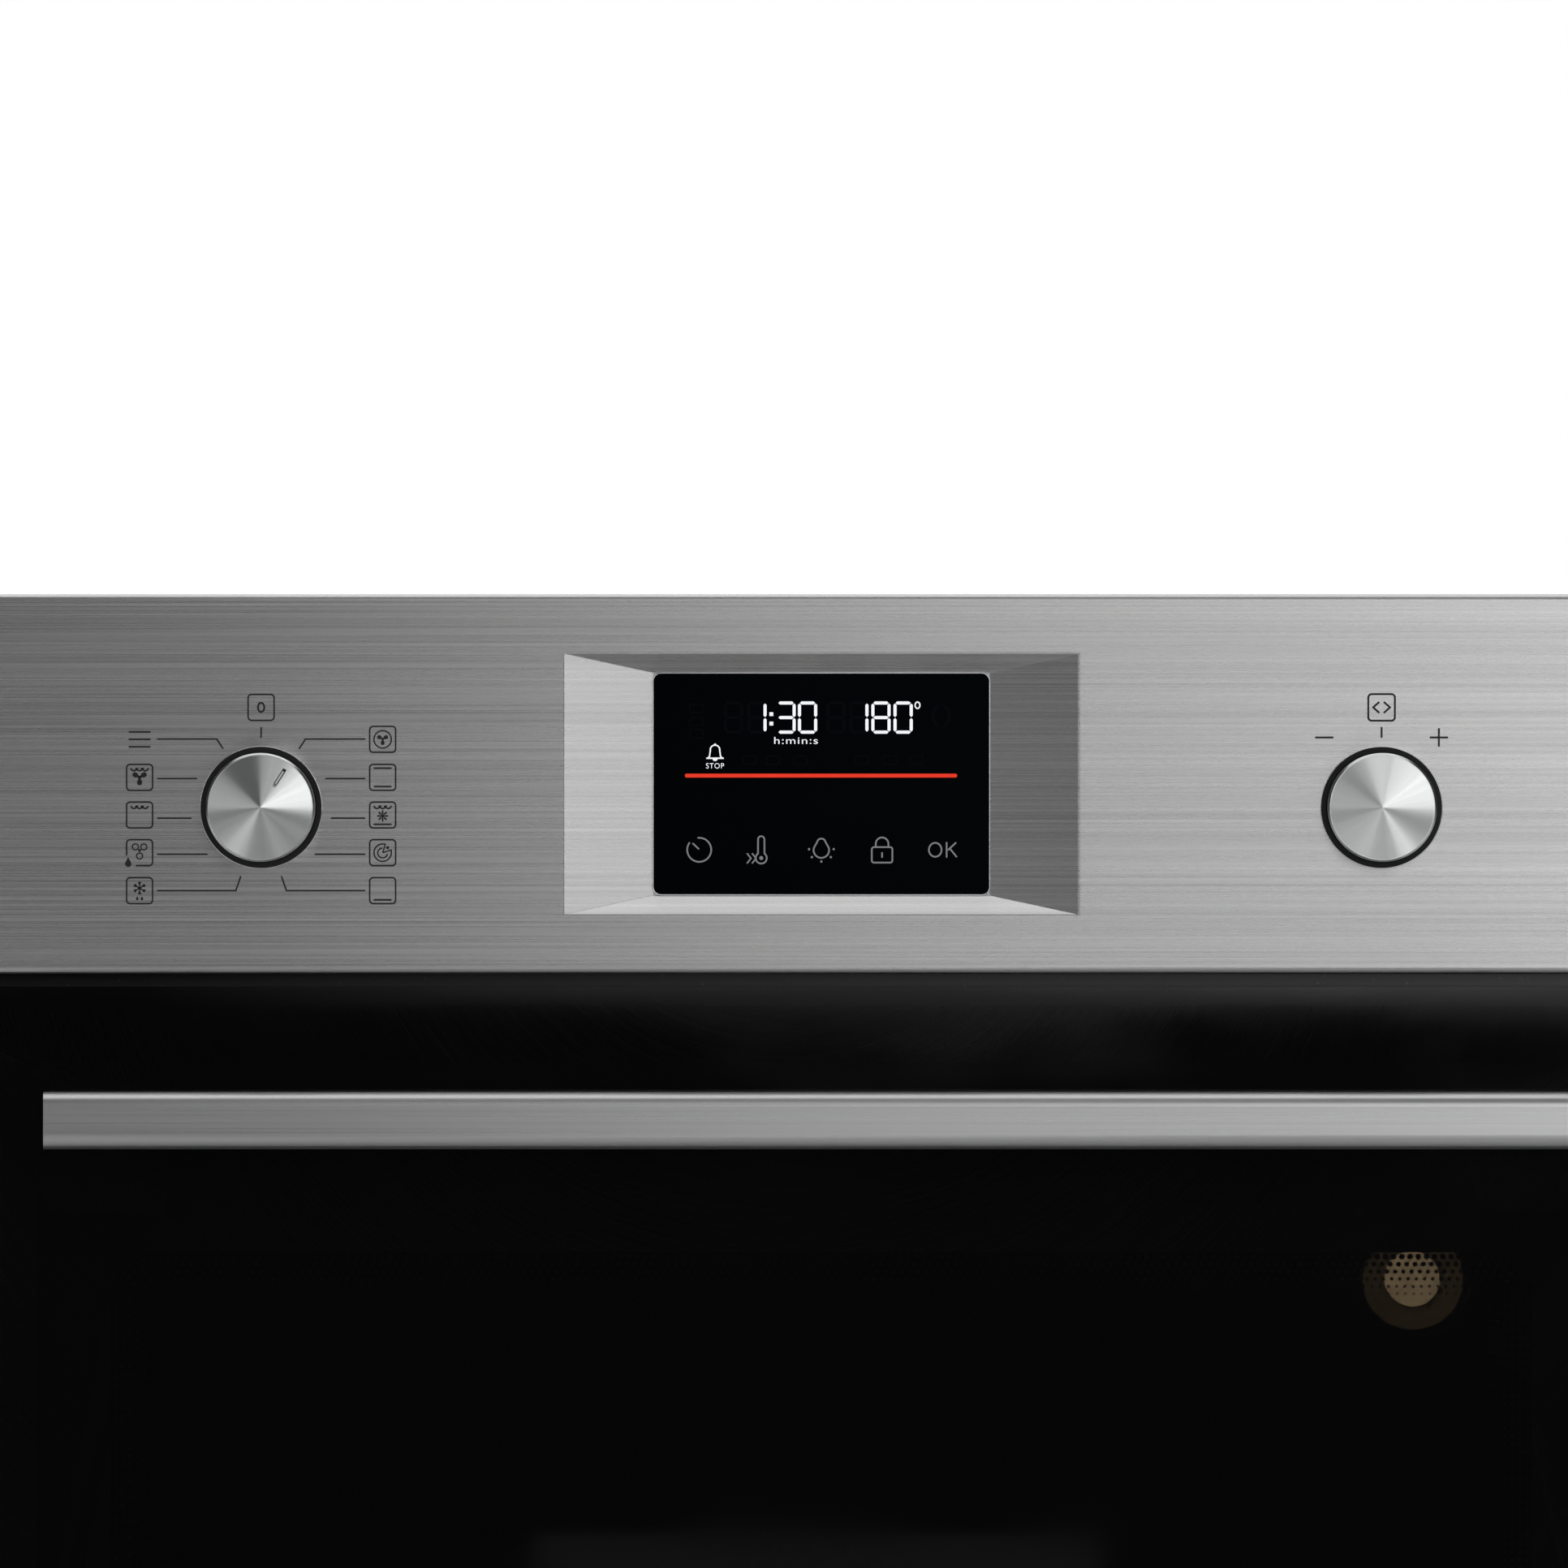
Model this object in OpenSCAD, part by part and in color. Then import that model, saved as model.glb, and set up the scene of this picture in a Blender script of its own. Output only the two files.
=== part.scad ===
// Built-in wall oven: brushed control panel with two push-in knobs and a recessed display,
// drop-down glass door, enamelled cavity with convection fan, and a sheet-steel casing.
// Millimetres. +Z up, +X to the viewer's right, the front faces -Y.
// The origin is the middle of the footprint, on the surface that the oven stands on.

/* [Overall] */
// Width of the front, across the control panel
oven_w = 595; // [496:1:720]
// Height of the front above the surface that the oven stands on
oven_h = 595; // [496:1:720]
// Depth of the casing behind the cabinet face
casing_d = 546; // [455:1:660]
// How far the door and the panel stand ahead of the cabinet face
front_t = 22; // [20:0.5:28]
// Width of the flange that covers the cabinet's edge on each side
flange_w = 19.5; // [17:0.5:24]
// How far the casing's top lies below the panel's top edge
top_drop = 18; // [14:1:24]
// Sheet thickness of the casing and frames
sheet = 1.2; // [0.8:0.1:1.6]

/* [Control panel] */
// Height of the control panel
panel_h = 120; // [100:1:140]
// Radius of the panel's folded edges
fold_r = 2; // [1.5:0.1:2.5]
// Width of the display recess at the panel's face
recess_w = 163; // [136:1:196]
// Height of the display recess at the panel's face
recess_h = 83; // [78:1:100]
// Depth of the display recess
recess_d = 5; // [4:0.5:8]
// Width of the display glass
glass_w = 106.2; // [88:0.1:128]
// Height of the display glass
glass_h = 70; // [58:0.5:76]
// Corner radius of the display glass
glass_r = 2.5; // [1:0.1:4]
// Distance between the two knobs' axes
knob_spacing = 354; // [295:1:420]
// How far the knobs' axes lie below the panel's middle
knob_drop = 7.4; // [0:0.1:12]
// Diameter of a knob
knob_d = 34.4; // [28:0.1:41.5]
// How far a knob stands out of the panel
knob_reach = 18; // [16:0.5:20]
// How far a knob pushes in
knob_travel = 15; // [10:0.5:15]
// Radial width of the black ring round a knob
ring_w = 1.6; // [1:0.1:2.5]
// Angle of the pointer on the selector knob, clockwise from the top
pointer_angle = 32.7; // [0:0.1:360]

/* [Cavity] */
// Space between the cavity and the casing on each side
side_space = 43; // [38:1:60]
// Height of the cavity's floor above the surface that the oven stands on
cavity_floor = 62; // [60:1:80]
// Distance from the cavity's ceiling up to the top of the door
mouth_drop = 59; // [55:1:75]
// Space between the cavity's back wall and the back of the casing
rear_space = 116; // [112:1:140]
// Corner radius of the cavity
cavity_r = 12; // [6:1:20]
// Number of shelf levels
levels = 5; // [4:1:6]

/* [Door] */
// Height of the door's lower edge above the surface that the oven stands on
door_bottom = 16; // [15:0.5:20]
// Gap between the door and the control panel
door_gap = 4; // [3:0.5:8]
// Thickness of each door glass
pane_t = 4; // [3:0.5:5]
// Length of the handle bar
handle_w = 490; // [408:1:560]
// Distance between the two handle posts
post_spacing = 410; // [340:1:480]
// How far the handle stands out of the door
handle_reach = 42; // [35:1:50]
// How far the handle's middle lies below the door's top edge
handle_drop = 42; // [30:1:60]
// Diameter of the hinge pins
hinge_pin_d = 7; // [5.5:0.1:8.5]

/* [Hidden] */
$fn = 48;

// Clearances
eps = 0.01;             // overshoot of a cut through a face
running = 0.05;         // radial, a pin or shaft that turns in a bore
sliding = 0.25;         // radial, a knob in its ring
seat = 0.2;             // all round, the display glass in its surround
swing = 1;              // between the swinging door and what it passes

// Main faces. y = 0 is the cabinet face, and at_origin() moves it to its place
total_d = handle_reach + front_t + casing_d;
cabinet_y = handle_reach + front_t - total_d / 2;
half_w = oven_w / 2;
casing_w = oven_w - 2 * flange_w;
casing_in = casing_w / 2 - 1;           // inner face of the side panels
casing_top = oven_h - top_drop;
rear_y = casing_d - 2;                  // outer face of the rear cover
front_y = -front_t;                     // front face of the door and the panel
skid_h = 3;
floor_z = skid_h + sheet;
frame_y = 20;                           // front face of the frame round the cavity's mouth
frame_back = frame_y + sheet;
frame_x = casing_in - 1;

// Control panel
panel_z = oven_h - panel_h;
panel_mid = oven_h - panel_h / 2;
skin_y = front_y + sheet;               // back of the panel's skin
carrier_y = -4;                         // front face of the carrier plate
carrier_t = 1.8;
glass_y = front_y + recess_d;           // front face of the display glass
display_t = 2;
knob_z = panel_mid - knob_drop;
knob_r = knob_d / 2;
bore_r = knob_r + sliding;
ring_r = bore_r + ring_w;
cup_t = 2;
spindle_r = 3;
knob_front = front_y - knob_reach;
knob_wall = 1.4;
knob_top_t = 2.6;                       // a knob's front wall, with its face
hub_r = 6;
hub_end = -12;                          // back end of a knob's hub when the knob is out
spindle_tip = knob_front + knob_top_t + knob_travel + 0.9;
latch_room = 11;                        // behind the hub of a pressed knob
cup_end = hub_end + knob_travel + latch_room;   // inner end of the carrier's cups
screw_x = [half_w - 30, recess_w / 2 + 25];
screw_z = [panel_z + 12, oven_h - 12];
pads = 5;
pad_pitch = 19.3;
pad_drop = 20.9;                        // touch pads below the panel's middle

// Cavity
door_top = panel_z - door_gap;
cavity_w = casing_w - 2 * side_space;
cavity_top = door_top - mouth_drop;
cavity_h = cavity_top - cavity_floor;
cavity_mid = (cavity_top + cavity_floor) / 2;
cavity_back = casing_d - rear_space;    // inner face of the back wall
baffle_w = cavity_w - 150;
baffle_h = cavity_h - 75;
baffle_y = cavity_back - 34;
heater_r = min(baffle_w, baffle_h) / 2 - 40;
fan_r = heater_r - 20;
fan_hub_r = 9;
blade = fan_r * 0.4;
shaft_r = 4;
motor_r = 34;
motor_plate = 52;                       // half the width of the fan motor's plate
motor_post = 44;
motor_well_r = norm([motor_post, motor_post]) + 8;
tube_r = 3.4;                           // heating elements
ring_pin_x = 14;
ring_pin_r = tube_r + 1;
ring_pin_z = cavity_mid - sqrt(heater_r * heater_r - ring_pin_x * ring_pin_x);
grill_z = cavity_top - 14;
grill_pitch = (cavity_w - 150) / 5;
lamp_x = cavity_w / 2 - 40;
lamp_z = cavity_top - 40;
lamp_r = 19;
lamp_neck_r = 16.5;
blanket_top = door_top - 31;
duct_z = blanket_top + 4;               // underside of the duct's floor plate
duct_h = 18;
duct_w = 240;
blower_r = 36;
blower_y = casing_d - 146;
blower_z = duct_z + sheet + blower_r;
blower_w = 224;

// Shelves
post_r = 2.5;
wire_r = 2.2;
post_x = cavity_w / 2 - post_r - 1;
rail_x = cavity_w / 2 - 8;
rack_x = rail_x + 1;                    // outer side of the shelf and the tray
rail_gap = 16;                          // from a level's support wire to its guard wire
level_pitch = (cavity_h - 60) / levels;
ladder_y = [frame_back + 35, baffle_y - 8];
shelf_y = [frame_back + 30, baffle_y - 8];
shelf_r = 3;
tray_depth = 28;
tray_level = 1;
shelf_level = levels - 2;

// Door. The hinge axis is at hinge_y, hinge_z
pane_y = [front_y, -5, 8];              // front faces of the outer, middle and inner glass
pack_y = [front_y + pane_t, 12];        // the stiles' and rails' front and back
pack_x = casing_in - 9;
stile_w = 20;
stile_x = pack_x - stile_w;
pack_z = [door_bottom + 6, door_top - 6];
rail_h = [20, 18];                      // bottom and top rails
hinge_y = -6;
hinge_z = door_bottom + 20;
hinge_x = pack_x - stile_w / 2;
hinge_pin_r = hinge_pin_d / 2;
tongue_t = 3;
tongue_r = 8;
arm_t = 1.5;
arm_in = tongue_t / 2 + 2;              // inner face of an arm's cheek, from the hinge's middle
arm_h = 118;
outer_reach = norm([front_y - hinge_y, door_bottom - hinge_z]);
trim_top = hinge_z - outer_reach - swing;
handle_z = door_top - handle_drop;
handle_t = 12;
handle_h = 18;
post_d = 14;

// ---- Shared shapes ----

module at_origin() {
    translate([0, cabinet_y, 0]) children();
}

// A box from pairs of [low, high]
module slab(x, y, z) {
    translate([x[0], y[0], z[0]]) cube([x[1] - x[0], y[1] - y[0], z[1] - z[0]]);
}

// A box from -x to x
module wide(x, y, z) {
    slab([-x, x], y, z);
}

// The same box on one side, from in_x to out_x away from the middle
module side_slab(side, x, y, z) {
    slab(side > 0 ? x : [-x[1], -x[0]], y, z);
}

module rod_y(x, z, y, r) {
    translate([x, y[1], z]) rotate([90, 0, 0]) cylinder(h = y[1] - y[0], r = r);
}

module rod_x(y, z, x, r) {
    translate([x[0], y, z]) rotate([0, 90, 0]) cylinder(h = x[1] - x[0], r = r);
}

module rod_z(x, y, z, r) {
    translate([x, y, z[0]]) cylinder(h = z[1] - z[0], r = r);
}

// A flat outline drawn in x and z, given depth in y
module along_y(y) {
    translate([0, y[1], 0]) rotate([90, 0, 0]) linear_extrude(y[1] - y[0]) children();
}

// A flat outline drawn in y and z, given length in x
module along_x(x) {
    translate([x[0], 0, 0]) rotate([90, 0, 90]) linear_extrude(x[1] - x[0]) children();
}

module rounded(w, h, r) {
    square([w, h - 2 * r], center = true);
    square([w - 2 * r, h], center = true);
    for (x = [-1, 1], y = [-1, 1])
        translate([x * (w / 2 - r), y * (h / 2 - r)]) circle(r);
}

module slot(length, width) {
    square([length - width, width], center = true);
    for (end = [-1, 1])
        translate([end * (length - width) / 2, 0]) circle(width / 2);
}

// A row of upright slots, centred
module slot_row(count, pitch, length, width) {
    for (i = [0:count - 1])
        translate([(i - (count - 1) / 2) * pitch, 0]) rotate(90) slot(length, width);
}

// A straight-sided funnel along y, with its two ends as [width, height]
module funnel(low, high, y) {
    points = [
        for (end = [[low, y[0]], [high, y[1]]], corner = [[-1, -1], [1, -1], [1, 1], [-1, 1]])
            [corner[0] * end[0][0] / 2, end[1], corner[1] * end[0][1] / 2]
    ];
    polyhedron(points, [
        [3, 2, 1, 0], [4, 5, 6, 7], [0, 1, 5, 4], [1, 2, 6, 5], [2, 3, 7, 6], [3, 0, 4, 7]
    ]);
}

// A heating element: straight rods along y, joined by half rings at alternate ends
module serpentine(rods, pitch, y, tail, z) {
    bend = pitch / 2;
    for (i = [0:rods - 1]) {
        x = (i - (rods - 1) / 2) * pitch;
        end = i == 0 || i == rods - 1 ? tail : y[1] - bend;
        rod_y(x, z, [y[0] + bend, end], tube_r);
        if (i < rods - 1)
            translate([x + bend, i % 2 == 0 ? y[0] + bend : y[1] - bend, z])
                rotate(i % 2 == 0 ? 180 : 0)
                    rotate_extrude(angle = 180) translate([bend, 0]) circle(tube_r);
    }
}

function level_z(level) = cavity_floor + 25 + level * level_pitch;

// ---- Casing ----

module base_plate() {
    color("lightgray") {
        wide(casing_in, [frame_y + 4, rear_y - 1], [skid_h, floor_z]);
        for (side = [-1, 1])
            side_slab(side, [casing_in - 97, casing_in - 57], [frame_y + 10, rear_y - 15],
                [0, skid_h]);
    }
}

module side_panel(side) {
    color("lightgray")
        difference() {
            side_slab(side, [casing_in, casing_in + 1], [2, rear_y], [skid_h, casing_top]);
            // room for the foot of the open door
            side_slab(side, [casing_in - 1, casing_in + 2], [0, frame_y + 2],
                [0, hinge_z + 4]);
            for (z = [casing_top - 45, skid_h + 45])
                translate([0, rear_y - 110, z])
                    along_x([side * casing_in - 2, side * casing_in + 2])
                        slot_row(10, 12, 36, 4);
        }
}

module rear_cover() {
    color("lightgray")
        difference() {
            wide(casing_in, [rear_y - 1, rear_y], [floor_z, casing_top - 1]);
            translate([0, 0, cavity_mid])
                along_y([rear_y - 2, rear_y + 1])
                    for (ring = [1:3], i = [0:6 * ring - 1])
                        rotate(i * 60 / ring) translate([ring * 18, 0]) circle(5);
            translate([0, 0, casing_top - 45])
                along_y([rear_y - 2, rear_y + 1]) slot_row(24, 14, 40, 5);
            side_slab(1, terminal_x, [rear_y - 2, rear_y + 1], terminal_z);
        }
}

module top_cover() {
    color("lightgray")
        difference() {
            wide(casing_in, [2, rear_y], [casing_top - 1, casing_top]);
            translate([0, blower_y, casing_top - 2])
                linear_extrude(3) slot_row(14, 14, 60, 5);
        }
}

module front_frame() {
    color("dimgray")
        difference() {
            union() {
                wide(frame_x, [frame_y, frame_back], [floor_z, casing_top - 1]);
                // ledge over the door
                wide(frame_x, [2, frame_y], [door_top - 3, door_top - 3 + sheet]);
                for (side = [-1, 1]) {
                    side_slab(side, [frame_x - sheet, frame_x], [1.5, frame_y],
                        [hinge_z + 4, casing_top - 1]);
                    // ear behind the control panel
                    side_slab(side, [frame_x - 14, half_w - 1.5], [0, 1.5],
                        [panel_z + 5, oven_h - 5]);
                }
            }
            translate([0, 0, cavity_mid])
                along_y([frame_y - 1, frame_back + 1]) rounded(cavity_w, cavity_h, cavity_r);
            for (side = [-1, 1]) {
                side_slab(side, [hinge_x - 4, hinge_x + 4], [frame_y - 1, frame_back + 1],
                    [hinge_z - tongue_r, hinge_z + tongue_r]);
                rod_y(side * knob_spacing / 2, knob_z, [frame_y - 1, frame_back + 1],
                    ring_r + 2);
            }
            wide(duct_w / 2 - 2, [frame_y - 1, frame_back + 1],
                [duct_z + sheet + 1, duct_z + duct_h - 1]);
        }
}

trim_z = [hinge_z + 4, door_top - 1];
trim_hole_x = casing_w / 2 + 10;
trim_hole_r = 2.25;
trim_hole_z = [trim_z[0] + 70, trim_z[1] - 70];

module side_trims() {
    color("silver")
        for (side = [-1, 1])
            difference() {
                union() {
                    side_slab(side, [casing_w / 2, half_w - 1.5], [-1.5, 0], trim_z);
                    side_slab(side, [casing_w / 2, casing_w / 2 + sheet], [0, 15], trim_z);
                }
                for (z = trim_hole_z)
                    rod_y(side * trim_hole_x, z, [-2, 1], trim_hole_r);
            }
}

module lower_trim() {
    color("silver") {
        wide(half_w - 1.5, [front_y + 2, 0], [skid_h, floor_z]);
        wide(casing_in, [0, frame_y + 4], [skid_h, floor_z]);
        wide(half_w - 1.5, [front_y + 2, front_y + 2 + sheet], [floor_z, trim_top]);
    }
}

terminal_x = [casing_in - 120, casing_in - 40];
terminal_z = [floor_z + 40, floor_z + 90];
gland_r = 5.5;
gland_x = casing_in - 100;
gland_z = floor_z + 65;

module terminal_box() {
    color("black")
        difference() {
            side_slab(1, terminal_x, [rear_y - 34, casing_d], terminal_z);
            side_slab(1, [terminal_x[0] + 2, terminal_x[1] - 2], [rear_y - 32, casing_d - 12],
                [terminal_z[0] + 2, terminal_z[1] - 2]);
            rod_y(gland_x, gland_z, [casing_d - 13, casing_d + 1], gland_r);
            for (x = [14, 26])
                rod_y(terminal_x[1] - x, gland_z, [casing_d - 2, casing_d + 1], 2);
        }
}

module screw_heads(x, z) {
    rod_y(x, z, [rear_y, rear_y + 1.5], 3.5);
}

module casing_screws() {
    color("gray")
        for (side = [-1, 1], z = [floor_z + 15, cavity_mid, casing_top - 15])
            screw_heads(side * (casing_in - 10), z);
}

// ---- Cavity ----

module cavity_liner() {
    color("darkslategray")
        difference() {
            translate([0, 0, cavity_mid])
                along_y([frame_back, cavity_back + sheet])
                    rounded(cavity_w + 2 * sheet, cavity_h + 2 * sheet, cavity_r + sheet);
            translate([0, 0, cavity_mid])
                along_y([frame_back - 1, cavity_back]) rounded(cavity_w, cavity_h, cavity_r);
            back_holes(cavity_back - 1, cavity_back + sheet + 1, running);
        }
}

// Holes through the cavity's back wall for the shaft, elements and lamp
module back_holes(y0, y1, gap) {
    rod_y(0, cavity_mid, [y0, y1], shaft_r + 3);
    for (side = [-1, 1]) {
        rod_y(side * ring_pin_x, ring_pin_z, [y0, y1], ring_pin_r + gap);
        rod_y(side * grill_pitch * 2.5, grill_z, [y0, y1], tube_r + gap);
    }
    rod_y(lamp_x, lamp_z, [y0, y1], lamp_neck_r + gap);
}

module insulation() {
    liner_gap = sheet + 0.2;
    color("khaki")
        difference() {
            wide(cavity_w / 2 + 27, [frame_back + 1, cavity_back + 28],
                [cavity_floor - 32, blanket_top]);
            translate([0, 0, cavity_mid])
                along_y([frame_back, cavity_back + liner_gap])
                    rounded(cavity_w + 2 * liner_gap, cavity_h + 2 * liner_gap,
                        cavity_r + liner_gap);
            wide(cavity_w / 2 - 45, [frame_back + 39, cavity_back + 29],
                [cavity_floor - 16, cavity_floor]);
            rod_y(0, cavity_mid, [cavity_back, cavity_back + 29], motor_well_r);
            back_holes(cavity_back, cavity_back + 29, 3);
            for (side = [-1, 1])
                side_slab(side, [hinge_x - 10, hinge_x + 30], [frame_y, frame_back + 135],
                    [0, hinge_z + 36]);
        }
}

module air_duct() {
    color("lightgray")
        difference() {
            union() {
                wide(frame_x, [frame_back, rear_y - 1], [duct_z, duct_z + sheet]);
                wide(duct_w / 2, [frame_back, blower_y - 55],
                    [duct_z + sheet, duct_z + duct_h]);
            }
            wide(duct_w / 2 - sheet, [frame_y, blower_y - 54],
                [duct_z + sheet, duct_z + duct_h - sheet]);
        }
}

module ladder(side) {
    for (y = [ladder_y[0] + 12, (ladder_y[0] + ladder_y[1]) / 2, ladder_y[1] - 12]) {
        rod_z(side * post_x, y, [cavity_floor + 15, level_z(levels - 1) + rail_gap + 8],
            post_r);
        for (z = [cavity_floor + 20, level_z(levels - 1) + rail_gap + 3])
            rod_x(y, z, side > 0 ? [post_x, cavity_w / 2] : [-cavity_w / 2, -post_x], 2);
    }
    for (level = [0:levels - 1], lift = [0, rail_gap])
        rod_y(side * rail_x, level_z(level) + lift, ladder_y, wire_r);
}

module shelf_ladders() {
    color("silver")
        for (side = [-1, 1])
            ladder(side);
}

module grill_element() {
    color("gray")
        serpentine(6, grill_pitch, [frame_back + 40, baffle_y - 2], cavity_back + 20, grill_z);
}

module bottom_element() {
    color("gray")
        serpentine(4, (cavity_w - 140) / 3, [frame_back + 49, cavity_back - 35],
            cavity_back + 20, cavity_floor - 9);
}

module ring_heater() {
    y = cavity_back - 16;
    color("gray") {
        translate([0, y, cavity_mid]) rotate([90, 0, 0])
            rotate_extrude() translate([heater_r, 0]) circle(tube_r);
        for (side = [-1, 1])
            rod_y(side * ring_pin_x, ring_pin_z, [y - ring_pin_r, cavity_back + 22],
                ring_pin_r);
    }
}

module fan_baffle() {
    color("darkslategray")
        translate([0, 0, cavity_mid])
            difference() {
                along_y([baffle_y, cavity_back]) rounded(baffle_w, baffle_h, 15);
                along_y([baffle_y + sheet, cavity_back + 1])
                    rounded(baffle_w - 2 * sheet, baffle_h - 2 * sheet, 15 - sheet);
                along_y([baffle_y - 1, baffle_y + 2]) {
                    for (ring = [1:4], i = [0:6 * ring - 1])
                        rotate(i * 60 / ring) translate([ring * 12, 0]) circle(3.5);
                    for (x = [-1, 1], i = [-3:3])
                        translate([x * (baffle_w / 2 - 22), i * (baffle_h - 60) / 7])
                            slot(24, 5);
                }
            }
}

module fan_motor() {
    plate_y = [cavity_back + 30, cavity_back + 32];
    color("silver")
        difference() {
            union() {
                rod_y(0, cavity_mid, [plate_y[1], plate_y[1] + 42], motor_r);
                wide(motor_plate, plate_y, [cavity_mid - motor_plate, cavity_mid + motor_plate]);
                for (x = [-1, 1], z = [-1, 1])
                    rod_y(x * motor_post, cavity_mid + z * motor_post,
                        [cavity_back + sheet, plate_y[0]], 4);
            }
            rod_y(0, cavity_mid, [plate_y[0] - 1, plate_y[1] + 30], shaft_r + running);
        }
}

module convection_fan() {
    hub_y = [cavity_back - 28, cavity_back - 4];
    color("silver")
        translate([0, 0, cavity_mid]) {
            rod_y(0, 0, [hub_y[0], cavity_back + 60], shaft_r);
            rod_y(0, 0, hub_y, fan_hub_r);
            rod_y(0, 0, [cavity_back - 7, cavity_back - 5.5], fan_r);
            for (i = [0:11])
                rotate([0, i * 30, 0])
                    slab([fan_r - blade, fan_r - 1], [hub_y[0] + 2, cavity_back - 6],
                        [-0.6, 0.6]);
        }
}

module lamp_lens() {
    color("ghostwhite")
        difference() {
            union() {
                rod_y(lamp_x, lamp_z, [cavity_back - 8, cavity_back], lamp_r);
                translate([lamp_x, cavity_back - 8, lamp_z]) rotate([90, 0, 0])
                    cylinder(h = 8, r1 = lamp_r, r2 = lamp_r - 6);
                rod_y(lamp_x, lamp_z, [cavity_back, cavity_back + 10], lamp_neck_r);
            }
            rod_y(lamp_x, lamp_z, [cavity_back - 13, cavity_back + 11], 11);
        }
}

module lamp_bulb() {
    color("lightyellow") {
        rod_y(lamp_x, lamp_z, [cavity_back - 10, cavity_back + 8], 6);
        rod_y(lamp_x, lamp_z, [cavity_back + 8, cavity_back + 24], 9);
    }
}

module door_seal() {
    r = 3.7;
    corner = 18;
    w = cavity_w / 2 + 6;
    h = cavity_h / 2 + 6;
    color("black")
        translate([0, frame_y - r, cavity_mid]) {
            for (side = [-1, 1]) {
                rod_x(0, side * h, [-w + corner, w - corner], r);
                rod_z(side * w, 0, [-h + corner, h - corner], r);
            }
            for (turn = [0:3])
                rotate([0, turn * 90, 0])
                    translate(turn % 2 == 0 ? [w - corner, 0, h - corner]
                        : [h - corner, 0, w - corner])
                        rotate([90, 0, 0])
                            rotate_extrude(angle = 90) translate([corner, 0]) circle(r);
        }
}

module wire_shelf() {
    z = level_z(shelf_level) + wire_r + shelf_r + 0.3;
    cross_r = shelf_r - 0.6;
    grid_r = 1.6;
    inset = 18;
    wires = 17;
    color("silver") {
        for (side = [-1, 1])
            rod_y(side * (rack_x - shelf_r), z, shelf_y, shelf_r);
        for (y = [shelf_y[0] + shelf_r, (shelf_y[0] + shelf_y[1]) / 2, shelf_y[1] - shelf_r])
            rod_x(y, z, [shelf_r - rack_x, rack_x - shelf_r], cross_r);
        for (i = [0:wires - 1])
            rod_y((i / (wires - 1) * 2 - 1) * (rack_x - inset), z + cross_r + grid_r / 2,
                [shelf_y[0] + 1, shelf_y[1] - 1], grid_r);
    }
}

module baking_tray() {
    z = level_z(tray_level) + wire_r + 0.3;
    y_mid = (shelf_y[0] + shelf_y[1]) / 2;
    length = shelf_y[1] - shelf_y[0];
    rim_w = 2 * rack_x;
    tub_w = 2 * (rail_x - wire_r) - 3;
    color("darkslategray")
        translate([0, y_mid, z])
            difference() {
                union() {
                    linear_extrude(sheet) rounded(rim_w, length, 8);
                    translate([0, 0, sheet - tray_depth])
                        linear_extrude(tray_depth) rounded(tub_w, length - 16, 16);
                }
                translate([0, 0, 2 * sheet - tray_depth])
                    linear_extrude(tray_depth)
                        rounded(tub_w - 2 * sheet, length - 16 - 2 * sheet, 16 - sheet);
            }
}

// ---- Top compartment ----

module blower_housing() {
    color("gainsboro")
        difference() {
            union() {
                rod_x(blower_y, blower_z, [-blower_w / 2, blower_w / 2], blower_r);
                wide(blower_w / 2, [blower_y - 55, blower_y],
                    [duct_z + sheet, duct_z + duct_h]);
            }
            rod_x(blower_y, blower_z, [-blower_w / 2 + 2, blower_w / 2 - 2], blower_r - 1.5);
            wide(blower_w / 2 - 2, [blower_y - 56, blower_y],
                [duct_z + sheet + 1.5, duct_z + duct_h - 1.5]);
            rod_x(blower_y, blower_z, [-blower_w / 2 - 1, blower_w / 2 + 1],
                spindle_r + running);
            translate([0, blower_y, blower_z])
                linear_extrude(blower_r + 1) slot_row(13, 14, 40, 6);
        }
}

module blower_motor() {
    color("dimgray")
        difference() {
            rod_x(blower_y, blower_z, [blower_w / 2, blower_w / 2 + 46], 24);
            rod_x(blower_y, blower_z, [blower_w / 2 - 1, blower_w / 2 + 30],
                spindle_r + running);
        }
}

module blower_rotor() {
    length = blower_w / 2 - 6;
    color("silver")
        translate([0, blower_y, blower_z]) {
            rod_x(0, 0, [-blower_w / 2 - 1, blower_w / 2 + 28], spindle_r);
            for (x = [-length, -0.75, length - 1.5])
                rod_x(0, 0, [x, x + 1.5], 30);
            for (i = [0:17])
                rotate([i * 20, 0, 0])
                    slab([-length + 0.5, length - 0.5], [-0.4, 0.4], [23.5, 29.5]);
        }
}

module power_board() {
    x = -frame_x + 22;
    y = frame_back + 90;
    z = duct_z + sheet;
    color("darkgreen") {
        slab([x, x + 110], [y, y + 170], [z + 6, z + 7.6]);
        for (i = [x + 8, x + 102], j = [y + 8, y + 162])
            rod_z(i, j, [z, z + 6.5], 3);
        slab([x + 12, x + 52], [y + 20, y + 60], [z + 7, z + 38]);
        for (i = [0:3])
            slab([x + 66, x + 96], [y + 16 + 26 * i, y + 32 + 26 * i], [z + 7, z + 24]);
        for (i = [0:2])
            rod_z(x + 24 + 22 * i, y + 145, [z + 7, z + 32], 8);
    }
}

// ---- Hinges ----

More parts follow.
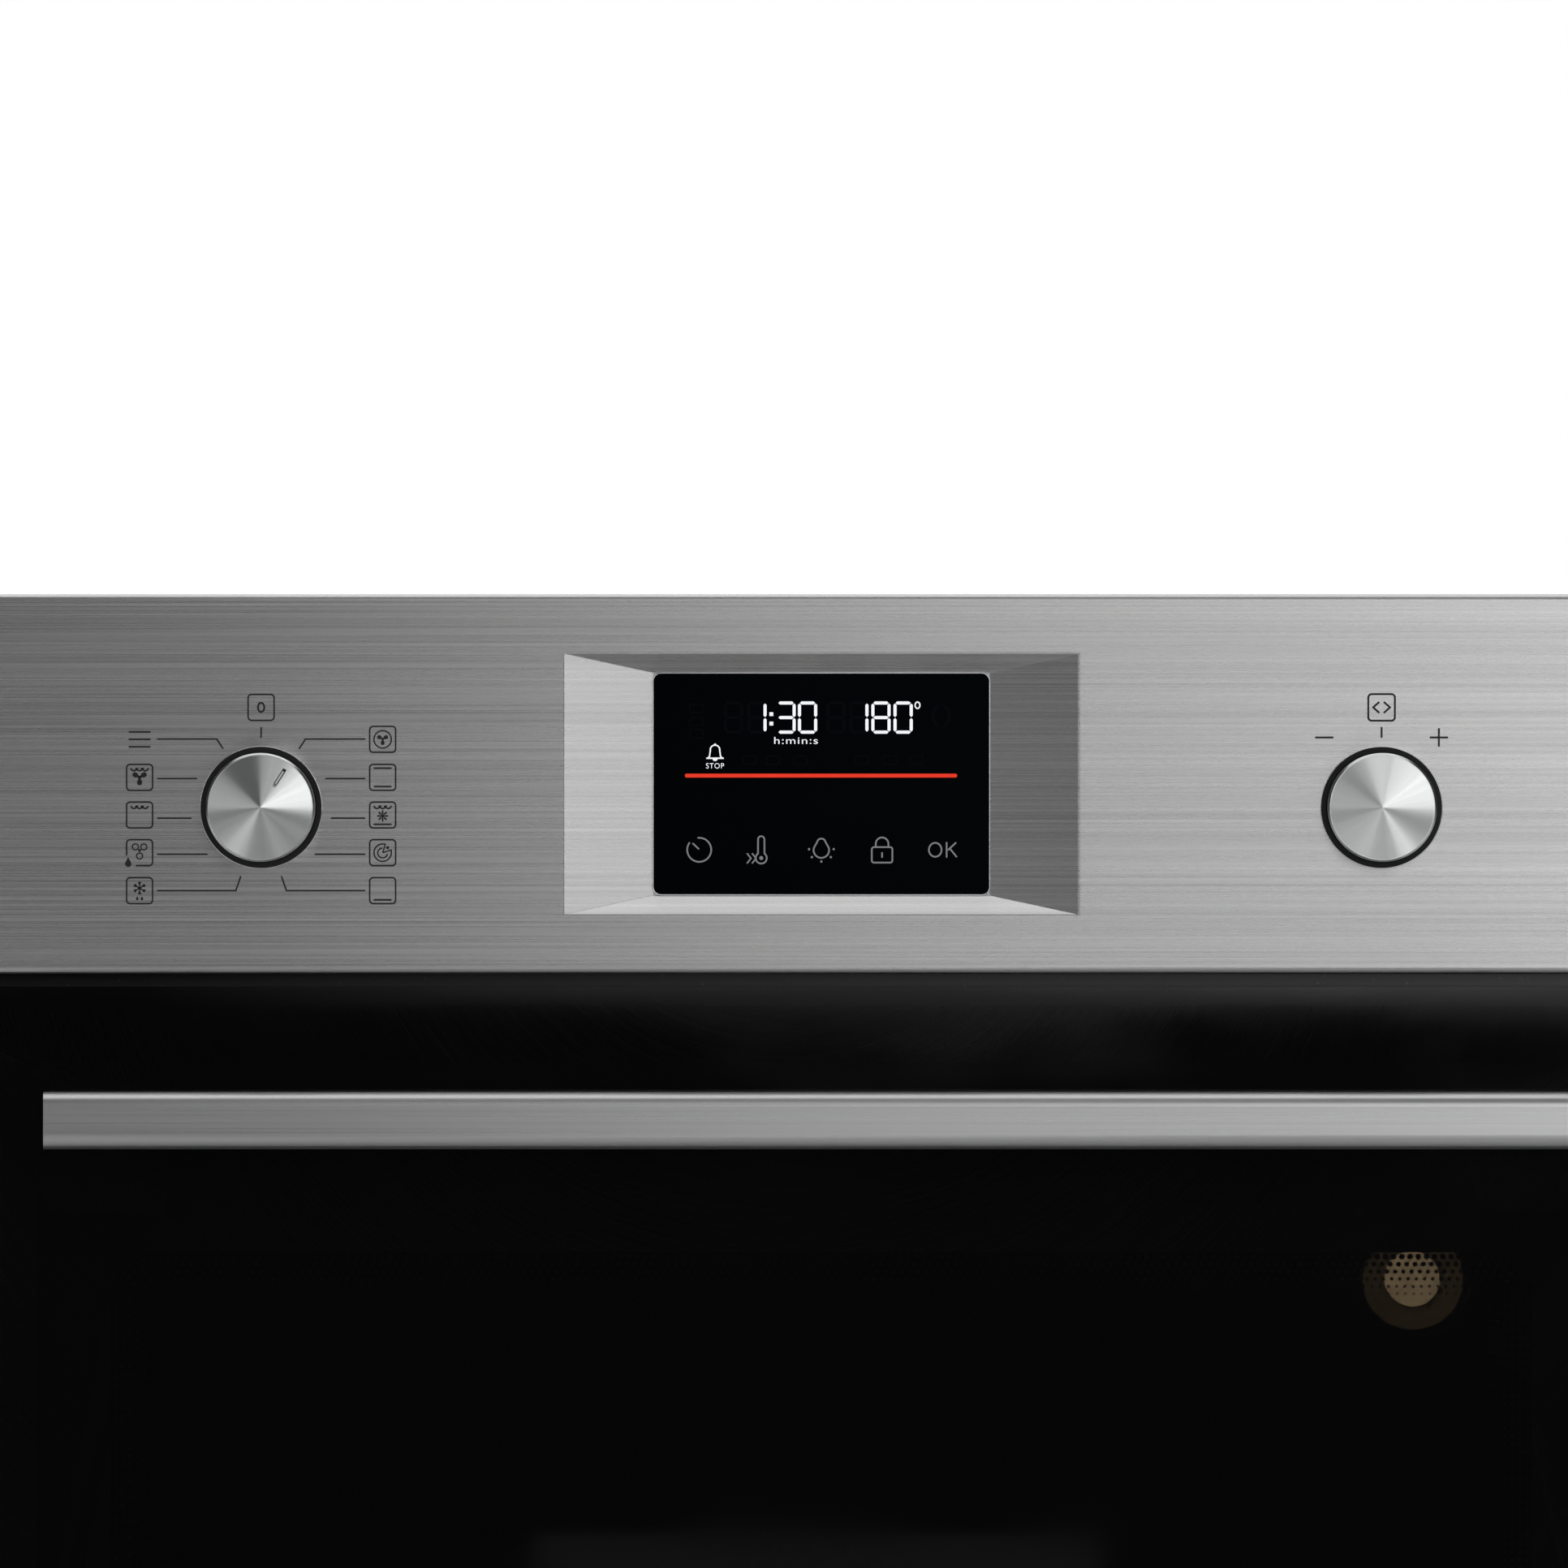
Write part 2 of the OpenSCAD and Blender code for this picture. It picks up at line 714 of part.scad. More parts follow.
module hinge_housings() {
    color("silver")
        for (side = [-1, 1])
            difference() {
                union() {
                    side_slab(side, [hinge_x - 7, hinge_x + 7], [frame_back, frame_back + 128],
                        [hinge_z - 10, hinge_z + 30]);
                    side_slab(side, [hinge_x - tongue_t / 2, hinge_x + tongue_t / 2],
                        [hinge_y, frame_back + 20], [hinge_z - 6, hinge_z + 6]);
                    rod_x(hinge_y, hinge_z, [side * hinge_x - tongue_t / 2,
                        side * hinge_x + tongue_t / 2], tongue_r);
                }
                for (half = [-1, 1])
                    slab([side * hinge_x + (half > 0 ? tongue_t / 2 : -5.5),
                        side * hinge_x + (half > 0 ? 5.5 : -tongue_t / 2)],
                        [frame_back + 2, frame_back + 126], [hinge_z - 8.5, hinge_z + 31]);
                side_slab(side, [hinge_x - 2, hinge_x + 2], [frame_back + 20, frame_back + 126],
                    [hinge_z - 8.5, hinge_z + 31]);
                rod_x(hinge_y, hinge_z, [side * hinge_x - 5, side * hinge_x + 5],
                    hinge_pin_r + running);
            }
}

module hinge_arms() {
    web_y = pack_y[0] + 1;
    color("gray")
        for (side = [-1, 1])
            difference() {
                union() {
                    side_slab(side, [hinge_x - arm_in - arm_t, hinge_x + arm_in + arm_t],
                        [web_y, web_y + arm_t], [hinge_z - 8, hinge_z - 8 + arm_h]);
                    for (cheek = [-1, 1])
                        slab([side * hinge_x + (cheek > 0 ? arm_in : -arm_in - arm_t),
                            side * hinge_x + (cheek > 0 ? arm_in + arm_t : -arm_in)],
                            [web_y, hinge_y + tongue_r], [hinge_z - 8, hinge_z - 8 + arm_h]);
                }
                rod_x(hinge_y, hinge_z, [side * hinge_x - 8, side * hinge_x + 8],
                    hinge_pin_r);
            }
}

module hinge_pins() {
    reach = arm_in + arm_t;
    color("darkgray")
        for (side = [-1, 1])
            rod_x(hinge_y, hinge_z, [side * hinge_x - reach, side * hinge_x + reach],
                hinge_pin_r);
}

// ---- Door ----

module door_outer_glass() {
    color("black")
        difference() {
            translate([0, 0, (door_bottom + door_top) / 2])
                along_y([pane_y[0], pane_y[0] + pane_t])
                    rounded(oven_w - 2, door_top - door_bottom, 3);
            for (side = [-1, 1])
                rod_y(side * post_spacing / 2, handle_z,
                    [pane_y[0] - 1, pane_y[0] + pane_t + 1], 4);
        }
}

module inner_pane(y) {
    color("lightcyan")
        wide(stile_x - 0.5, [y, y + pane_t], [pack_z[0] + rail_h[0], pack_z[1] - rail_h[1]]);
}

module door_mid_glass() {
    inner_pane(pane_y[1]);
}

module door_inner_glass() {
    inner_pane(pane_y[2]);
}

module door_stiles() {
    z = [pack_z[0], pack_z[1] - rail_h[1]];
    color("dimgray")
        for (side = [-1, 1])
            difference() {
                side_slab(side, [stile_x, pack_x], pack_y, z);
                side_slab(side, [stile_x + 1, pack_x - 1], [pack_y[0] + 1, pack_y[1] - 1],
                    [z[0] - 1, z[1] + 1]);
                // way out for the hinge's tongue as the door swings
                side_slab(side, [stile_x + 2, pack_x - 2], [0, pack_y[1] + 1],
                    [z[0] - 1, hinge_z + tongue_r + 2]);
            }
}

module door_top_rail() {
    z = [pack_z[1] - rail_h[1], pack_z[1]];
    mid_y = (pack_y[0] + pack_y[1]) / 2;
    color("dimgray")
        difference() {
            wide(pack_x, pack_y, z);
            wide(pack_x - 1, [pack_y[0] + 1, pack_y[1] - 1], [z[0] + 1, z[1] - 1]);
            translate([0, mid_y, z[1] - 2]) linear_extrude(3) slot_row(26, 18, 14, 6);
            for (x = [-1, 1])
                translate([x * hinge_x, mid_y, z[0] - 1]) linear_extrude(3) slot(14, 8);
        }
}

module door_bottom_rail() {
    z = [pack_z[0], pack_z[0] + rail_h[0]];
    color("dimgray")
        difference() {
            wide(stile_x, pack_y, z);
            wide(stile_x + 1, [pack_y[0] + 1, pack_y[1] - 1], [z[0] + 1, z[1] - 1]);
        }
}

handle_y = [front_y - handle_reach, front_y - handle_reach + handle_t];

module handle_bar() {
    color("silver")
        translate([0, (handle_y[0] + handle_y[1]) / 2, handle_z])
            along_x([-handle_w / 2, handle_w / 2]) rounded(handle_t, handle_h, 4.5);
}

module handle_posts() {
    color("silver")
        for (side = [-1, 1])
            difference() {
                rod_y(side * post_spacing / 2, handle_z, [handle_y[1], front_y], post_d / 2);
                rod_y(side * post_spacing / 2, handle_z, [front_y - 18, front_y + 1], 2.5);
            }
}

module handle_screws() {
    color("gray")
        for (side = [-1, 1]) {
            rod_y(side * post_spacing / 2, handle_z, [front_y - 16, front_y + pane_t], 2.5);
            rod_y(side * post_spacing / 2, handle_z,
                [front_y + pane_t, front_y + pane_t + 2.5], 5);
        }
}

// ---- Control panel ----

// The panel's section in y and z, with round front corners
module panel_section(inset, r) {
    y0 = front_y + inset;
    z0 = panel_z + inset;
    z1 = oven_h - inset;
    translate([y0 + r, z0]) square([-y0 - r + (inset > 0 ? 1 : 0), z1 - z0]);
    translate([y0, z0 + r]) square([-y0, z1 - z0 - 2 * r]);
    for (z = [z0 + r, z1 - r])
        translate([y0 + r, z]) circle(r);
}

module fascia() {
    boss_r = 3.5;
    color("silver")
        difference() {
            union() {
                difference() {
                    along_x([-half_w, half_w]) panel_section(0, fold_r);
                    along_x([-half_w + sheet, half_w - sheet])
                        panel_section(sheet, fold_r - sheet);
                }
                for (side = [-1, 1], x = screw_x, z = screw_z)
                    rod_y(side * x, z, [skin_y - 0.5, carrier_y], boss_r);
            }
            for (side = [-1, 1]) {
                rod_y(side * knob_spacing / 2, knob_z, [front_y - 1, skin_y + 1], ring_r);
                for (x = screw_x, z = screw_z)
                    rod_y(side * x, z, [carrier_y - 11, carrier_y + 1], 1.5);
            }
            wide(recess_w / 2, [front_y - 1, skin_y + 1],
                [panel_mid - recess_h / 2, panel_mid + recess_h / 2]);
        }
}

module display_surround() {
    window_w = glass_w + 2 * seat;
    window_h = glass_h + 2 * seat;
    rim = 0.3;
    wall = 2;
    back_y = glass_y + display_t;
    color("silver")
        translate([0, 0, panel_mid])
            difference() {
                union() {
                    wide(recess_w / 2, [front_y, skin_y], [-recess_h / 2, recess_h / 2]);
                    wide(recess_w / 2 + 4, [skin_y, skin_y + 1],
                        [-recess_h / 2 - 4, recess_h / 2 + 4]);
                    funnel([recess_w, recess_h],
                        [window_w + 2 * wall + 4, window_h + 2 * wall], [skin_y, back_y]);
                }
                funnel([recess_w - 2 * rim, recess_h - 2 * rim], [window_w, window_h],
                    [front_y - eps, glass_y]);
                along_y([glass_y - 1, back_y + 1]) rounded(window_w, window_h, glass_r);
            }
}

module display_glass() {
    color("black")
        translate([0, 0, panel_mid])
            along_y([glass_y, glass_y + display_t]) rounded(glass_w, glass_h, glass_r);
}

board_y = carrier_y - 3;

module display_module() {
    color("white")
        slab([-glass_w / 2 + 8, glass_w / 2 - 8], [glass_y + display_t, board_y],
            [panel_mid - glass_h / 2 + 21, panel_mid + glass_h / 2 - 4]);
}

module touch_board() {
    color("darkgreen") {
        wide(glass_w / 2 - 3, [board_y, board_y + 1.6],
            [panel_mid - glass_h / 2 + 3, panel_mid + glass_h / 2 - 3]);
        for (i = [0:pads - 1])
            rod_y((i - (pads - 1) / 2) * pad_pitch, panel_mid - pad_drop,
                [glass_y + display_t, board_y + 0.5], 4);
    }
}

module panel_carrier() {
    cup_r = ring_r + 1;
    color("dimgray")
        difference() {
            union() {
                wide(half_w - 8, [carrier_y, carrier_y + carrier_t],
                    [panel_z + 4, oven_h - 4]);
                for (side = [-1, 1]) {
                    rod_y(side * knob_spacing / 2, knob_z, [carrier_y, cup_end + cup_t],
                        cup_r);
                    side_slab(side, [frame_x - 5, frame_x + 5],
                        [carrier_y + carrier_t - 0.5, 0], [panel_mid - 30, panel_mid + 30]);
                    for (z = [-1, 1])
                        rod_y(side * (glass_w / 2 - 10), panel_mid + z * (glass_h / 2 - 10),
                            [board_y + 1.6, carrier_y + 0.5], 3);
                }
            }
            for (side = [-1, 1]) {
                rod_y(side * knob_spacing / 2, knob_z, [carrier_y - 1, cup_end],
                    bore_r + 0.5);
                rod_y(side * knob_spacing / 2, knob_z, [cup_end - 1, cup_end + cup_t + 1],
                    spindle_r + running);
                for (x = screw_x, z = screw_z)
                    rod_y(side * x, z, [carrier_y - 1, carrier_y + carrier_t + 1], 1.5);
            }
            wide(20, [carrier_y - 1, carrier_y + carrier_t + 1],
                [panel_mid - 8, panel_mid + 8]);
        }
}

module panel_screws() {
    back = carrier_y + carrier_t;
    color("gray")
        for (side = [-1, 1], x = screw_x, z = screw_z) {
            rod_y(side * x, z, [carrier_y - 9, back], 1.5);
            rod_y(side * x, z, [back, back + 1.8], 3.2);
        }
}

module bezel(side) {
    guide_r = bore_r + 1.15;
    x = side * knob_spacing / 2;
    color("black")
        difference() {
            union() {
                rod_y(x, knob_z, [front_y - 0.6, skin_y], ring_r);
                rod_y(x, knob_z, [skin_y, skin_y + 1.5], ring_r + 2.5);
                rod_y(x, knob_z, [skin_y, carrier_y], guide_r);
            }
            rod_y(x, knob_z, [front_y - 2, carrier_y + 1], bore_r);
        }
}

module encoders() {
    color("dimgray")
        for (side = [-1, 1])
            difference() {
                translate([side * knob_spacing / 2, 0, knob_z])
                    wide(8, [cup_end + cup_t, cup_end + cup_t + 10], [-8, 8]);
                rod_y(side * knob_spacing / 2, knob_z,
                    [cup_end + cup_t - 1, cup_end + cup_t + 7], spindle_r + running);
            }
}

// A round bar with a flat on top, so that the knob turns it
module flatted_rod(y, r) {
    difference() {
        rod_y(0, 0, y, r);
        wide(r, [y[0] - 1, y[1] + 1], [r * 0.6, r + 1]);
    }
}

module spindle(side) {
    tail = cup_end + cup_t + 6;
    color("gray")
        translate([side * knob_spacing / 2, 0, knob_z]) {
            flatted_rod([spindle_tip, cup_end - 2], spindle_r);
            rod_y(0, 0, [cup_end - 2, tail], spindle_r);
        }
}

face_r = knob_r - 0.8;
face_t = 0.8;

module knob(side) {
    shell_end = front_y + 6;
    color("silver")
        translate([side * knob_spacing / 2, 0, knob_z])
            difference() {
                union() {
                    difference() {
                        union() {
                            rod_y(0, 0, [knob_front + 0.6, shell_end], knob_r);
                            translate([0, knob_front + 0.6, 0]) rotate([90, 0, 0])
                                cylinder(h = 0.6, r1 = knob_r, r2 = knob_r - 0.6);
                        }
                        rod_y(0, 0, [knob_front + knob_top_t, shell_end + 1], knob_r - knob_wall);
                    }
                    rod_y(0, 0, [knob_front + knob_top_t - 0.6, hub_end], hub_r);
                }
                rod_y(0, 0, [knob_front - 1, knob_front + face_t], face_r);
                flatted_rod([knob_front + knob_top_t, hub_end + 1], spindle_r + running);
            }
}

module knob_face(side, pointer) {
    mark_r = [8.2, 14];
    mark_w = 1.3;
    mark_deep = 0.5;
    mark_mid = (mark_r[0] + mark_r[1]) / 2;
    color("gainsboro")
        translate([side * knob_spacing / 2, 0, knob_z])
            difference() {
                rod_y(0, 0, [knob_front, knob_front + face_t], face_r);
                if (pointer)
                    rotate([0, pointer_angle, 0])
                        along_y([knob_front - 1, knob_front + mark_deep])
                            translate([0, mark_mid]) rotate(90)
                                slot(mark_r[1] - mark_r[0] + mark_w, mark_w);
            }
}

at_origin() base_plate();
at_origin() side_panel(-1);  // side_panel_left
at_origin() side_panel(1);  // side_panel_right
at_origin() rear_cover();
at_origin() top_cover();
at_origin() front_frame();
at_origin() side_trims();
at_origin() lower_trim();
at_origin() cavity_liner();
at_origin() insulation();
at_origin() air_duct();
at_origin() shelf_ladders();
at_origin() grill_element();
at_origin() bottom_element();
at_origin() ring_heater();
at_origin() fan_baffle();
at_origin() fan_motor();
at_origin() lamp_bulb();
at_origin() lamp_lens();
at_origin() door_seal();
at_origin() hinge_housings();
at_origin() blower_housing();
at_origin() blower_motor();
at_origin() power_board();
at_origin() terminal_box();
at_origin() casing_screws();
at_origin() fascia();
at_origin() display_surround();
at_origin() display_glass();
at_origin() display_module();
at_origin() touch_board();
at_origin() panel_carrier();
at_origin() bezel(-1);  // bezel_left
at_origin() bezel(1);  // bezel_right
at_origin() encoders();
at_origin() panel_screws();
at_origin() spindle(-1);  // spindle_left
at_origin() spindle(1);  // spindle_right
at_origin() knob(-1);  // knob_left
at_origin() knob_face(-1, true);  // knob_left_face
at_origin() knob(1);  // knob_right
at_origin() knob_face(1, false);  // knob_right_face
at_origin() convection_fan();
at_origin() blower_rotor();
at_origin() wire_shelf();
at_origin() baking_tray();
at_origin() door_outer_glass();
at_origin() door_mid_glass();
at_origin() door_inner_glass();
at_origin() door_stiles();
at_origin() door_top_rail();
at_origin() door_bottom_rail();
at_origin() hinge_arms();
at_origin() hinge_pins();
at_origin() handle_bar();
at_origin() handle_posts();
at_origin() handle_screws();
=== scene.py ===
"""Looks of a built-in wall oven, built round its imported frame.

The panel's printed signs and the lit display are drawn here, with the door's printed border, and
every carried-over node gets a procedural finish. Lengths are in metres unless a name or a docstring
says millimetres.
"""
import logging
import math
from dataclasses import dataclass, field
from enum import Enum

import bmesh
import bpy
from mathutils import Matrix, Vector


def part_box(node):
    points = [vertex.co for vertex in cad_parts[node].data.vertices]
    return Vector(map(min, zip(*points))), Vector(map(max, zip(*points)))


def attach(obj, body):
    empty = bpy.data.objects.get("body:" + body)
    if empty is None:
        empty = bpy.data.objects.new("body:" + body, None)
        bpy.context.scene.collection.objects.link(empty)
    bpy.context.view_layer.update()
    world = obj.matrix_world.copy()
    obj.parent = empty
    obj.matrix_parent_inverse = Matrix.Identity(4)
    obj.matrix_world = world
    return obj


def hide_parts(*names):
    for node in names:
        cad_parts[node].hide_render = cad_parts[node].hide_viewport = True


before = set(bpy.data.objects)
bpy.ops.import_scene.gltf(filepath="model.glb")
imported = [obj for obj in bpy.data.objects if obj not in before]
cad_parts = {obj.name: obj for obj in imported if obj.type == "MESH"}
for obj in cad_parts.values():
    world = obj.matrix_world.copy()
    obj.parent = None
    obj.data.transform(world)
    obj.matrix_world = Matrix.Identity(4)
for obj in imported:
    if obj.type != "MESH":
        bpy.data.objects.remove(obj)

MM = 0.001
INK_DEPTH = 0.05
LETTER_SPACING = 1.12
UPRIGHT = Matrix.Rotation(math.pi / 2, 4, "X")
TO_FRONT = Vector((0.0, -1.0, 0.0))
Triple = tuple[float, float, float]
Colour = Triple
Point = tuple[float, float]
log = logging.getLogger("oven")


class Marks(Enum):
    """How a metal's brush marks run."""

    SIDEWAYS = "along X, on upright faces and on level ones"
    INWARDS = "along Y, round a turned part"


# ---------------------------------------------------------------- finishes


class Tree:
    """A node tree under construction."""

    tree: bpy.types.NodeTree

    def add(self, kind: str, inputs: dict[str | int, object] | None = None,
            **settings: object) -> bpy.types.Node:
        """Adds a node.

        Args:
            kind: The node's type.
            inputs: Values or sockets for its inputs, by name or number.
            settings: Values of the node's own properties.

        Returns:
            The new node.
        """
        node = self.tree.nodes.new(kind)
        for key, value in settings.items():
            setattr(node, key, value)
        for key, value in (inputs or {}).items():
            if isinstance(value, bpy.types.NodeSocket):
                self.tree.links.new(value, node.inputs[key])
            else:
                node.inputs[key].default_value = value
        return node


class Shader(Tree):
    """A material under construction, with its surface node and its object coordinates."""

    def __init__(self, name: str, tone: Colour, roughness: float, metallic: float = 0.0) -> None:
        """Starts a material.

        Args:
            name: The material's name.
            tone: The surface's colour, linear.
            roughness: The surface's roughness.
            metallic: 1 for bare metal, 0 for anything else.
        """
        self.material = bpy.data.materials.new(name)
        self.material.use_nodes = True
        self.tree = self.material.node_tree
        self.surface = self.tree.nodes["Principled BSDF"]
        self.set("Base Color", (*tone, 1.0))
        self.set("Roughness", roughness)
        self.set("Metallic", metallic)
        place = self.add("ShaderNodeTexCoord")
        self.coords = place.outputs["Object"]
        self.normal_z = self.add("ShaderNodeSeparateXYZ", {0: place.outputs["Normal"]}).outputs["Z"]

    def set(self, socket: str, value: object) -> None:
        """Sets a constant on the surface node."""
        self.surface.inputs[socket].default_value = value

    def drive(self, socket: str, source: bpy.types.NodeSocket) -> None:
        """Links a pattern to an input of the surface node."""
        self.tree.links.new(source, self.surface.inputs[socket])

    def scaled(self, scale: float | Triple,
               place: bpy.types.NodeSocket | None = None) -> bpy.types.NodeSocket:
        """Object coordinates, or another place, times a scale per metre."""
        factors = scale if isinstance(scale, tuple) else (scale, scale, scale)
        return self.vector("MULTIPLY", place or self.coords, factors)

    def noise(self, scale: float | Triple, detail: float = 2.0,
              place: bpy.types.NodeSocket | None = None) -> bpy.types.NodeSocket:
        """A noise with a scale per metre, the same along every axis or one for each.

        Args:
            scale: Marks to the metre.
            detail: How many finer layers it has.
            place: The coordinates that it lies on, where they aren't the object's own.

        Returns:
            The pattern, 0 to 1.
        """
        return self.add("ShaderNodeTexNoise", {"Vector": self.scaled(scale, place), "Scale": 1.0,
                                               "Detail": detail}).outputs["Fac"]

    def vector(self, operation: str, *values: object) -> bpy.types.NodeSocket:
        """The vector that a Vector Math node makes of up to two vectors."""
        return self.add("ShaderNodeVectorMath", dict(enumerate(values)),
                        operation=operation).outputs[0]

    def blend(self, *layers: tuple[bpy.types.NodeSocket, float]) -> bpy.types.NodeSocket:
        """The sum of patterns, each times its share."""
        shares = [self.math("MULTIPLY", pattern, share) for pattern, share in layers]
        total = shares[0]
        for share in shares[1:]:
            total = self.math("ADD", total, share)
        return total

    def uneven(self, factor: bpy.types.NodeSocket, roughness: float, sway: float,
               source: Point = (0.3, 0.7)) -> None:
        """Lets the roughness sway with a pattern, by a share of itself each way."""
        self.drive("Roughness", self.spread(factor, roughness * (1.0 - sway),
                                            roughness * (1.0 + sway), source))

    def math(self, operation: str, *values: object) -> bpy.types.NodeSocket:
        """The result of a Math node on up to three values or sockets."""
        return self.add("ShaderNodeMath", dict(enumerate(values)),
                        operation=operation).outputs[0]

    def spread(self, factor: bpy.types.NodeSocket, low: float, high: float,
               source: Point = (0.3, 0.7)) -> bpy.types.NodeSocket:
        """Maps a pattern onto a range.

        Args:
            factor: The pattern.
            low: The result where the pattern is low.
            high: The result where the pattern is high.
            source: The pattern's own low and high.

        Returns:
            The mapped value.
        """
        node = self.add("ShaderNodeMapRange", {"Value": factor, "From Min": source[0],
                                               "From Max": source[1], "To Min": low,
                                               "To Max": high})
        return node.outputs["Result"]

    def tint(self, factor: bpy.types.NodeSocket, low: Colour, high: Colour,
             socket: str = "Base Color") -> None:
        """Colours the surface between two tones.

        Args:
            factor: The pattern, 0 to 1.
            low: The tone at 0.
            high: The tone at 1.
            socket: The surface input that takes the colour.
        """
        node = self.add("ShaderNodeMix", {0: factor}, data_type="RGBA")
        node.inputs[6].default_value = (*low, 1.0)
        node.inputs[7].default_value = (*high, 1.0)
        self.drive(socket, node.outputs[2])

    def relief(self, height: bpy.types.NodeSocket, distance: float, strength: float = 0.5,
               edge: float = 0.0, normal: bpy.types.NodeSocket | None = None) -> None:
        """Adds a bump, over softened edges where an edge radius is given.

        Args:
            height: The height pattern.
            distance: The relief's depth.
            strength: How much of it shows.
            edge: Radius of the softened edges.
            normal: The direction that the surface faces, where it isn't the mesh's own.
        """
        bump = self.add("ShaderNodeBump", {"Height": height, "Distance": distance,
                                           "Strength": strength})
        if edge > 0:
            normal = self.add("ShaderNodeBevel", {"Radius": edge}, samples=4).outputs[0]
        if normal:
            self.tree.links.new(normal, bump.inputs["Normal"])
        self.drive("Normal", bump.outputs[0])

    def grain(self, direction: bpy.types.NodeSocket, strength: float) -> None:
        """Spreads highlights along a direction given in the object's own frame.

        Args:
            direction: The direction across the brush marks.
            strength: The anisotropy.
        """
        self.set("Anisotropic", strength)
        turned = self.add("ShaderNodeVectorTransform", {"Vector": direction},
                          vector_type="VECTOR", convert_from="OBJECT", convert_to="WORLD")
        self.drive("Tangent", turned.outputs[0])


def lighter(tone: Colour, factor: float) -> Colour:
    """A tone times a factor, kept at 1 or less."""
    return tuple(min(1.0, c * factor) for c in tone)


@dataclass(frozen=True)
class Finish:
    """A surface finish that a part is dressed in."""

    name: str
    tone: Colour
    roughness: float
    metallic: float = 0.0

    def pattern(self, shader: Shader) -> None:
        """Adds the finish's own pattern: a faint unevenness of gloss, unless a kind says more."""
        shader.uneven(shader.noise(60.0), self.roughness, 0.1)

    def make(self) -> bpy.types.Material:
        """Builds the finish's material, or finds it if it was built before."""
        title = "finish_" + self.name
        known = bpy.data.materials.get(title)
        if known:
            return known
        shader = Shader(title, self.tone, self.roughness, self.metallic)
        self.pattern(shader)
        return shader.material


@dataclass(frozen=True)
class BrushedMetal(Finish):
    """Sheet metal with long brush marks and soft bands along them.

    Each layer has its marks to the metre along the grain and across it, its detail and its share.
    """

    metallic: float = 1.0
    marks: Marks = Marks.SIDEWAYS
    contrast: float = 0.34
    directional: float = 0.75
    level_from: float = 0.8
    layers: tuple[tuple[float, ...], ...] = ((3.5, 2300.0, 3.0, 0.42), (1.2, 760.0, 2.0, 0.38),
                                             (0.7, 150.0, 1.0, 0.2))
    edge: float = 0.4 * MM

    def pattern(self, shader: Shader) -> None:
        """Adds fine marks, bands and broad clouds, all drawn out along the grain."""
        parts = shader.add("ShaderNodeSeparateXYZ", {0: shader.coords}).outputs
        if self.marks is Marks.SIDEWAYS:
            level = shader.math("GREATER_THAN", shader.math("ABSOLUTE", shader.normal_z),
                                self.level_from)
            upright = shader.math("SUBTRACT", 1.0, level)
            offset = shader.math("ADD", parts["Z"], shader.math("MULTIPLY", parts["Y"], level))
            place = {"X": parts["X"], "Z": offset}
            tangent = {"Y": level, "Z": upright}
        else:
            place = {"X": parts["Y"], "Y": parts["X"], "Z": parts["Z"]}
            tangent = {"X": 1.0, "Z": 1.0}
        grain = shader.add("ShaderNodeCombineXYZ", place).outputs[0]
        layers = [(shader.noise((length, width, width), detail, grain), share)
                  for length, width, detail, share in self.layers]
        fine = layers[0][0]
        mixed = shader.blend(*layers)
        shader.tint(shader.spread(mixed, 0.0, 1.0, (0.36, 0.64)),
                    lighter(self.tone, 1.0 - self.contrast / 2),
                    lighter(self.tone, 1.0 + self.contrast / 2))
        shader.uneven(fine, self.roughness, 0.14)
        shader.grain(shader.add("ShaderNodeCombineXYZ", tangent).outputs[0], self.directional)
        shader.relief(fine, 0.012 * MM, 0.35, self.edge)


@dataclass(frozen=True)
class TurnedMetal(Finish):
    """A metal disc turned on a lathe, with fine rings round its centre."""

    metallic: float = 1.0
    centre: Triple = (0.0, 0.0, 0.0)
    directional: float = 0.95
    dish: float = 0.14

    def pattern(self, shader: Shader) -> None:
        """Adds the lathe's rings, faint radial streaks of painted highlight in the tone, and
        highlights that spread along the radius.
        """
        offset = shader.vector("SUBTRACT", shader.coords, self.centre)
        parts = shader.add("ShaderNodeSeparateXYZ", {0: offset})
        flat = shader.add("ShaderNodeCombineXYZ", {"X": parts.outputs["X"],
                                                   "Z": parts.outputs["Z"]}).outputs[0]
        radius = shader.add("ShaderNodeVectorMath", {0: flat}, operation="LENGTH").outputs["Value"]
        rings = shader.add("ShaderNodeTexNoise", {"W": radius, "Scale": 5200.0, "Detail": 2.0},
                           noise_dimensions="1D").outputs["Fac"]
        spoke = shader.vector("NORMALIZE", flat)
        # Painted highlight: faint light and dark radial streaks in the tone stand for the sheen a
        # turned face reflects; the rings mixed in are the lathe's own marks.
        painted_rays = shader.add("ShaderNodeTexNoise", {"Vector": spoke, "Scale": 9.0,
                                                 "Detail": 3.0}).outputs["Fac"]
        mixed = shader.blend((rings, 0.5), (painted_rays, 0.5))
        shader.tint(shader.spread(mixed, 0.0, 1.0), lighter(self.tone, 0.93),
                    lighter(self.tone, 1.07))
        shader.grain(flat, self.directional)
        lean = shader.add("ShaderNodeVectorMath", {0: spoke, "Scale": self.dish},
                          operation="SCALE").outputs[0]
        turned = shader.add("ShaderNodeVectorTransform", {"Vector": lean},
                            vector_type="VECTOR", convert_from="OBJECT", convert_to="WORLD")
        facing = shader.add("ShaderNodeNewGeometry").outputs["Normal"]
        tilted = shader.vector("ADD", facing, turned.outputs[0])
        shader.relief(rings, 0.006 * MM, 0.3, normal=tilted)


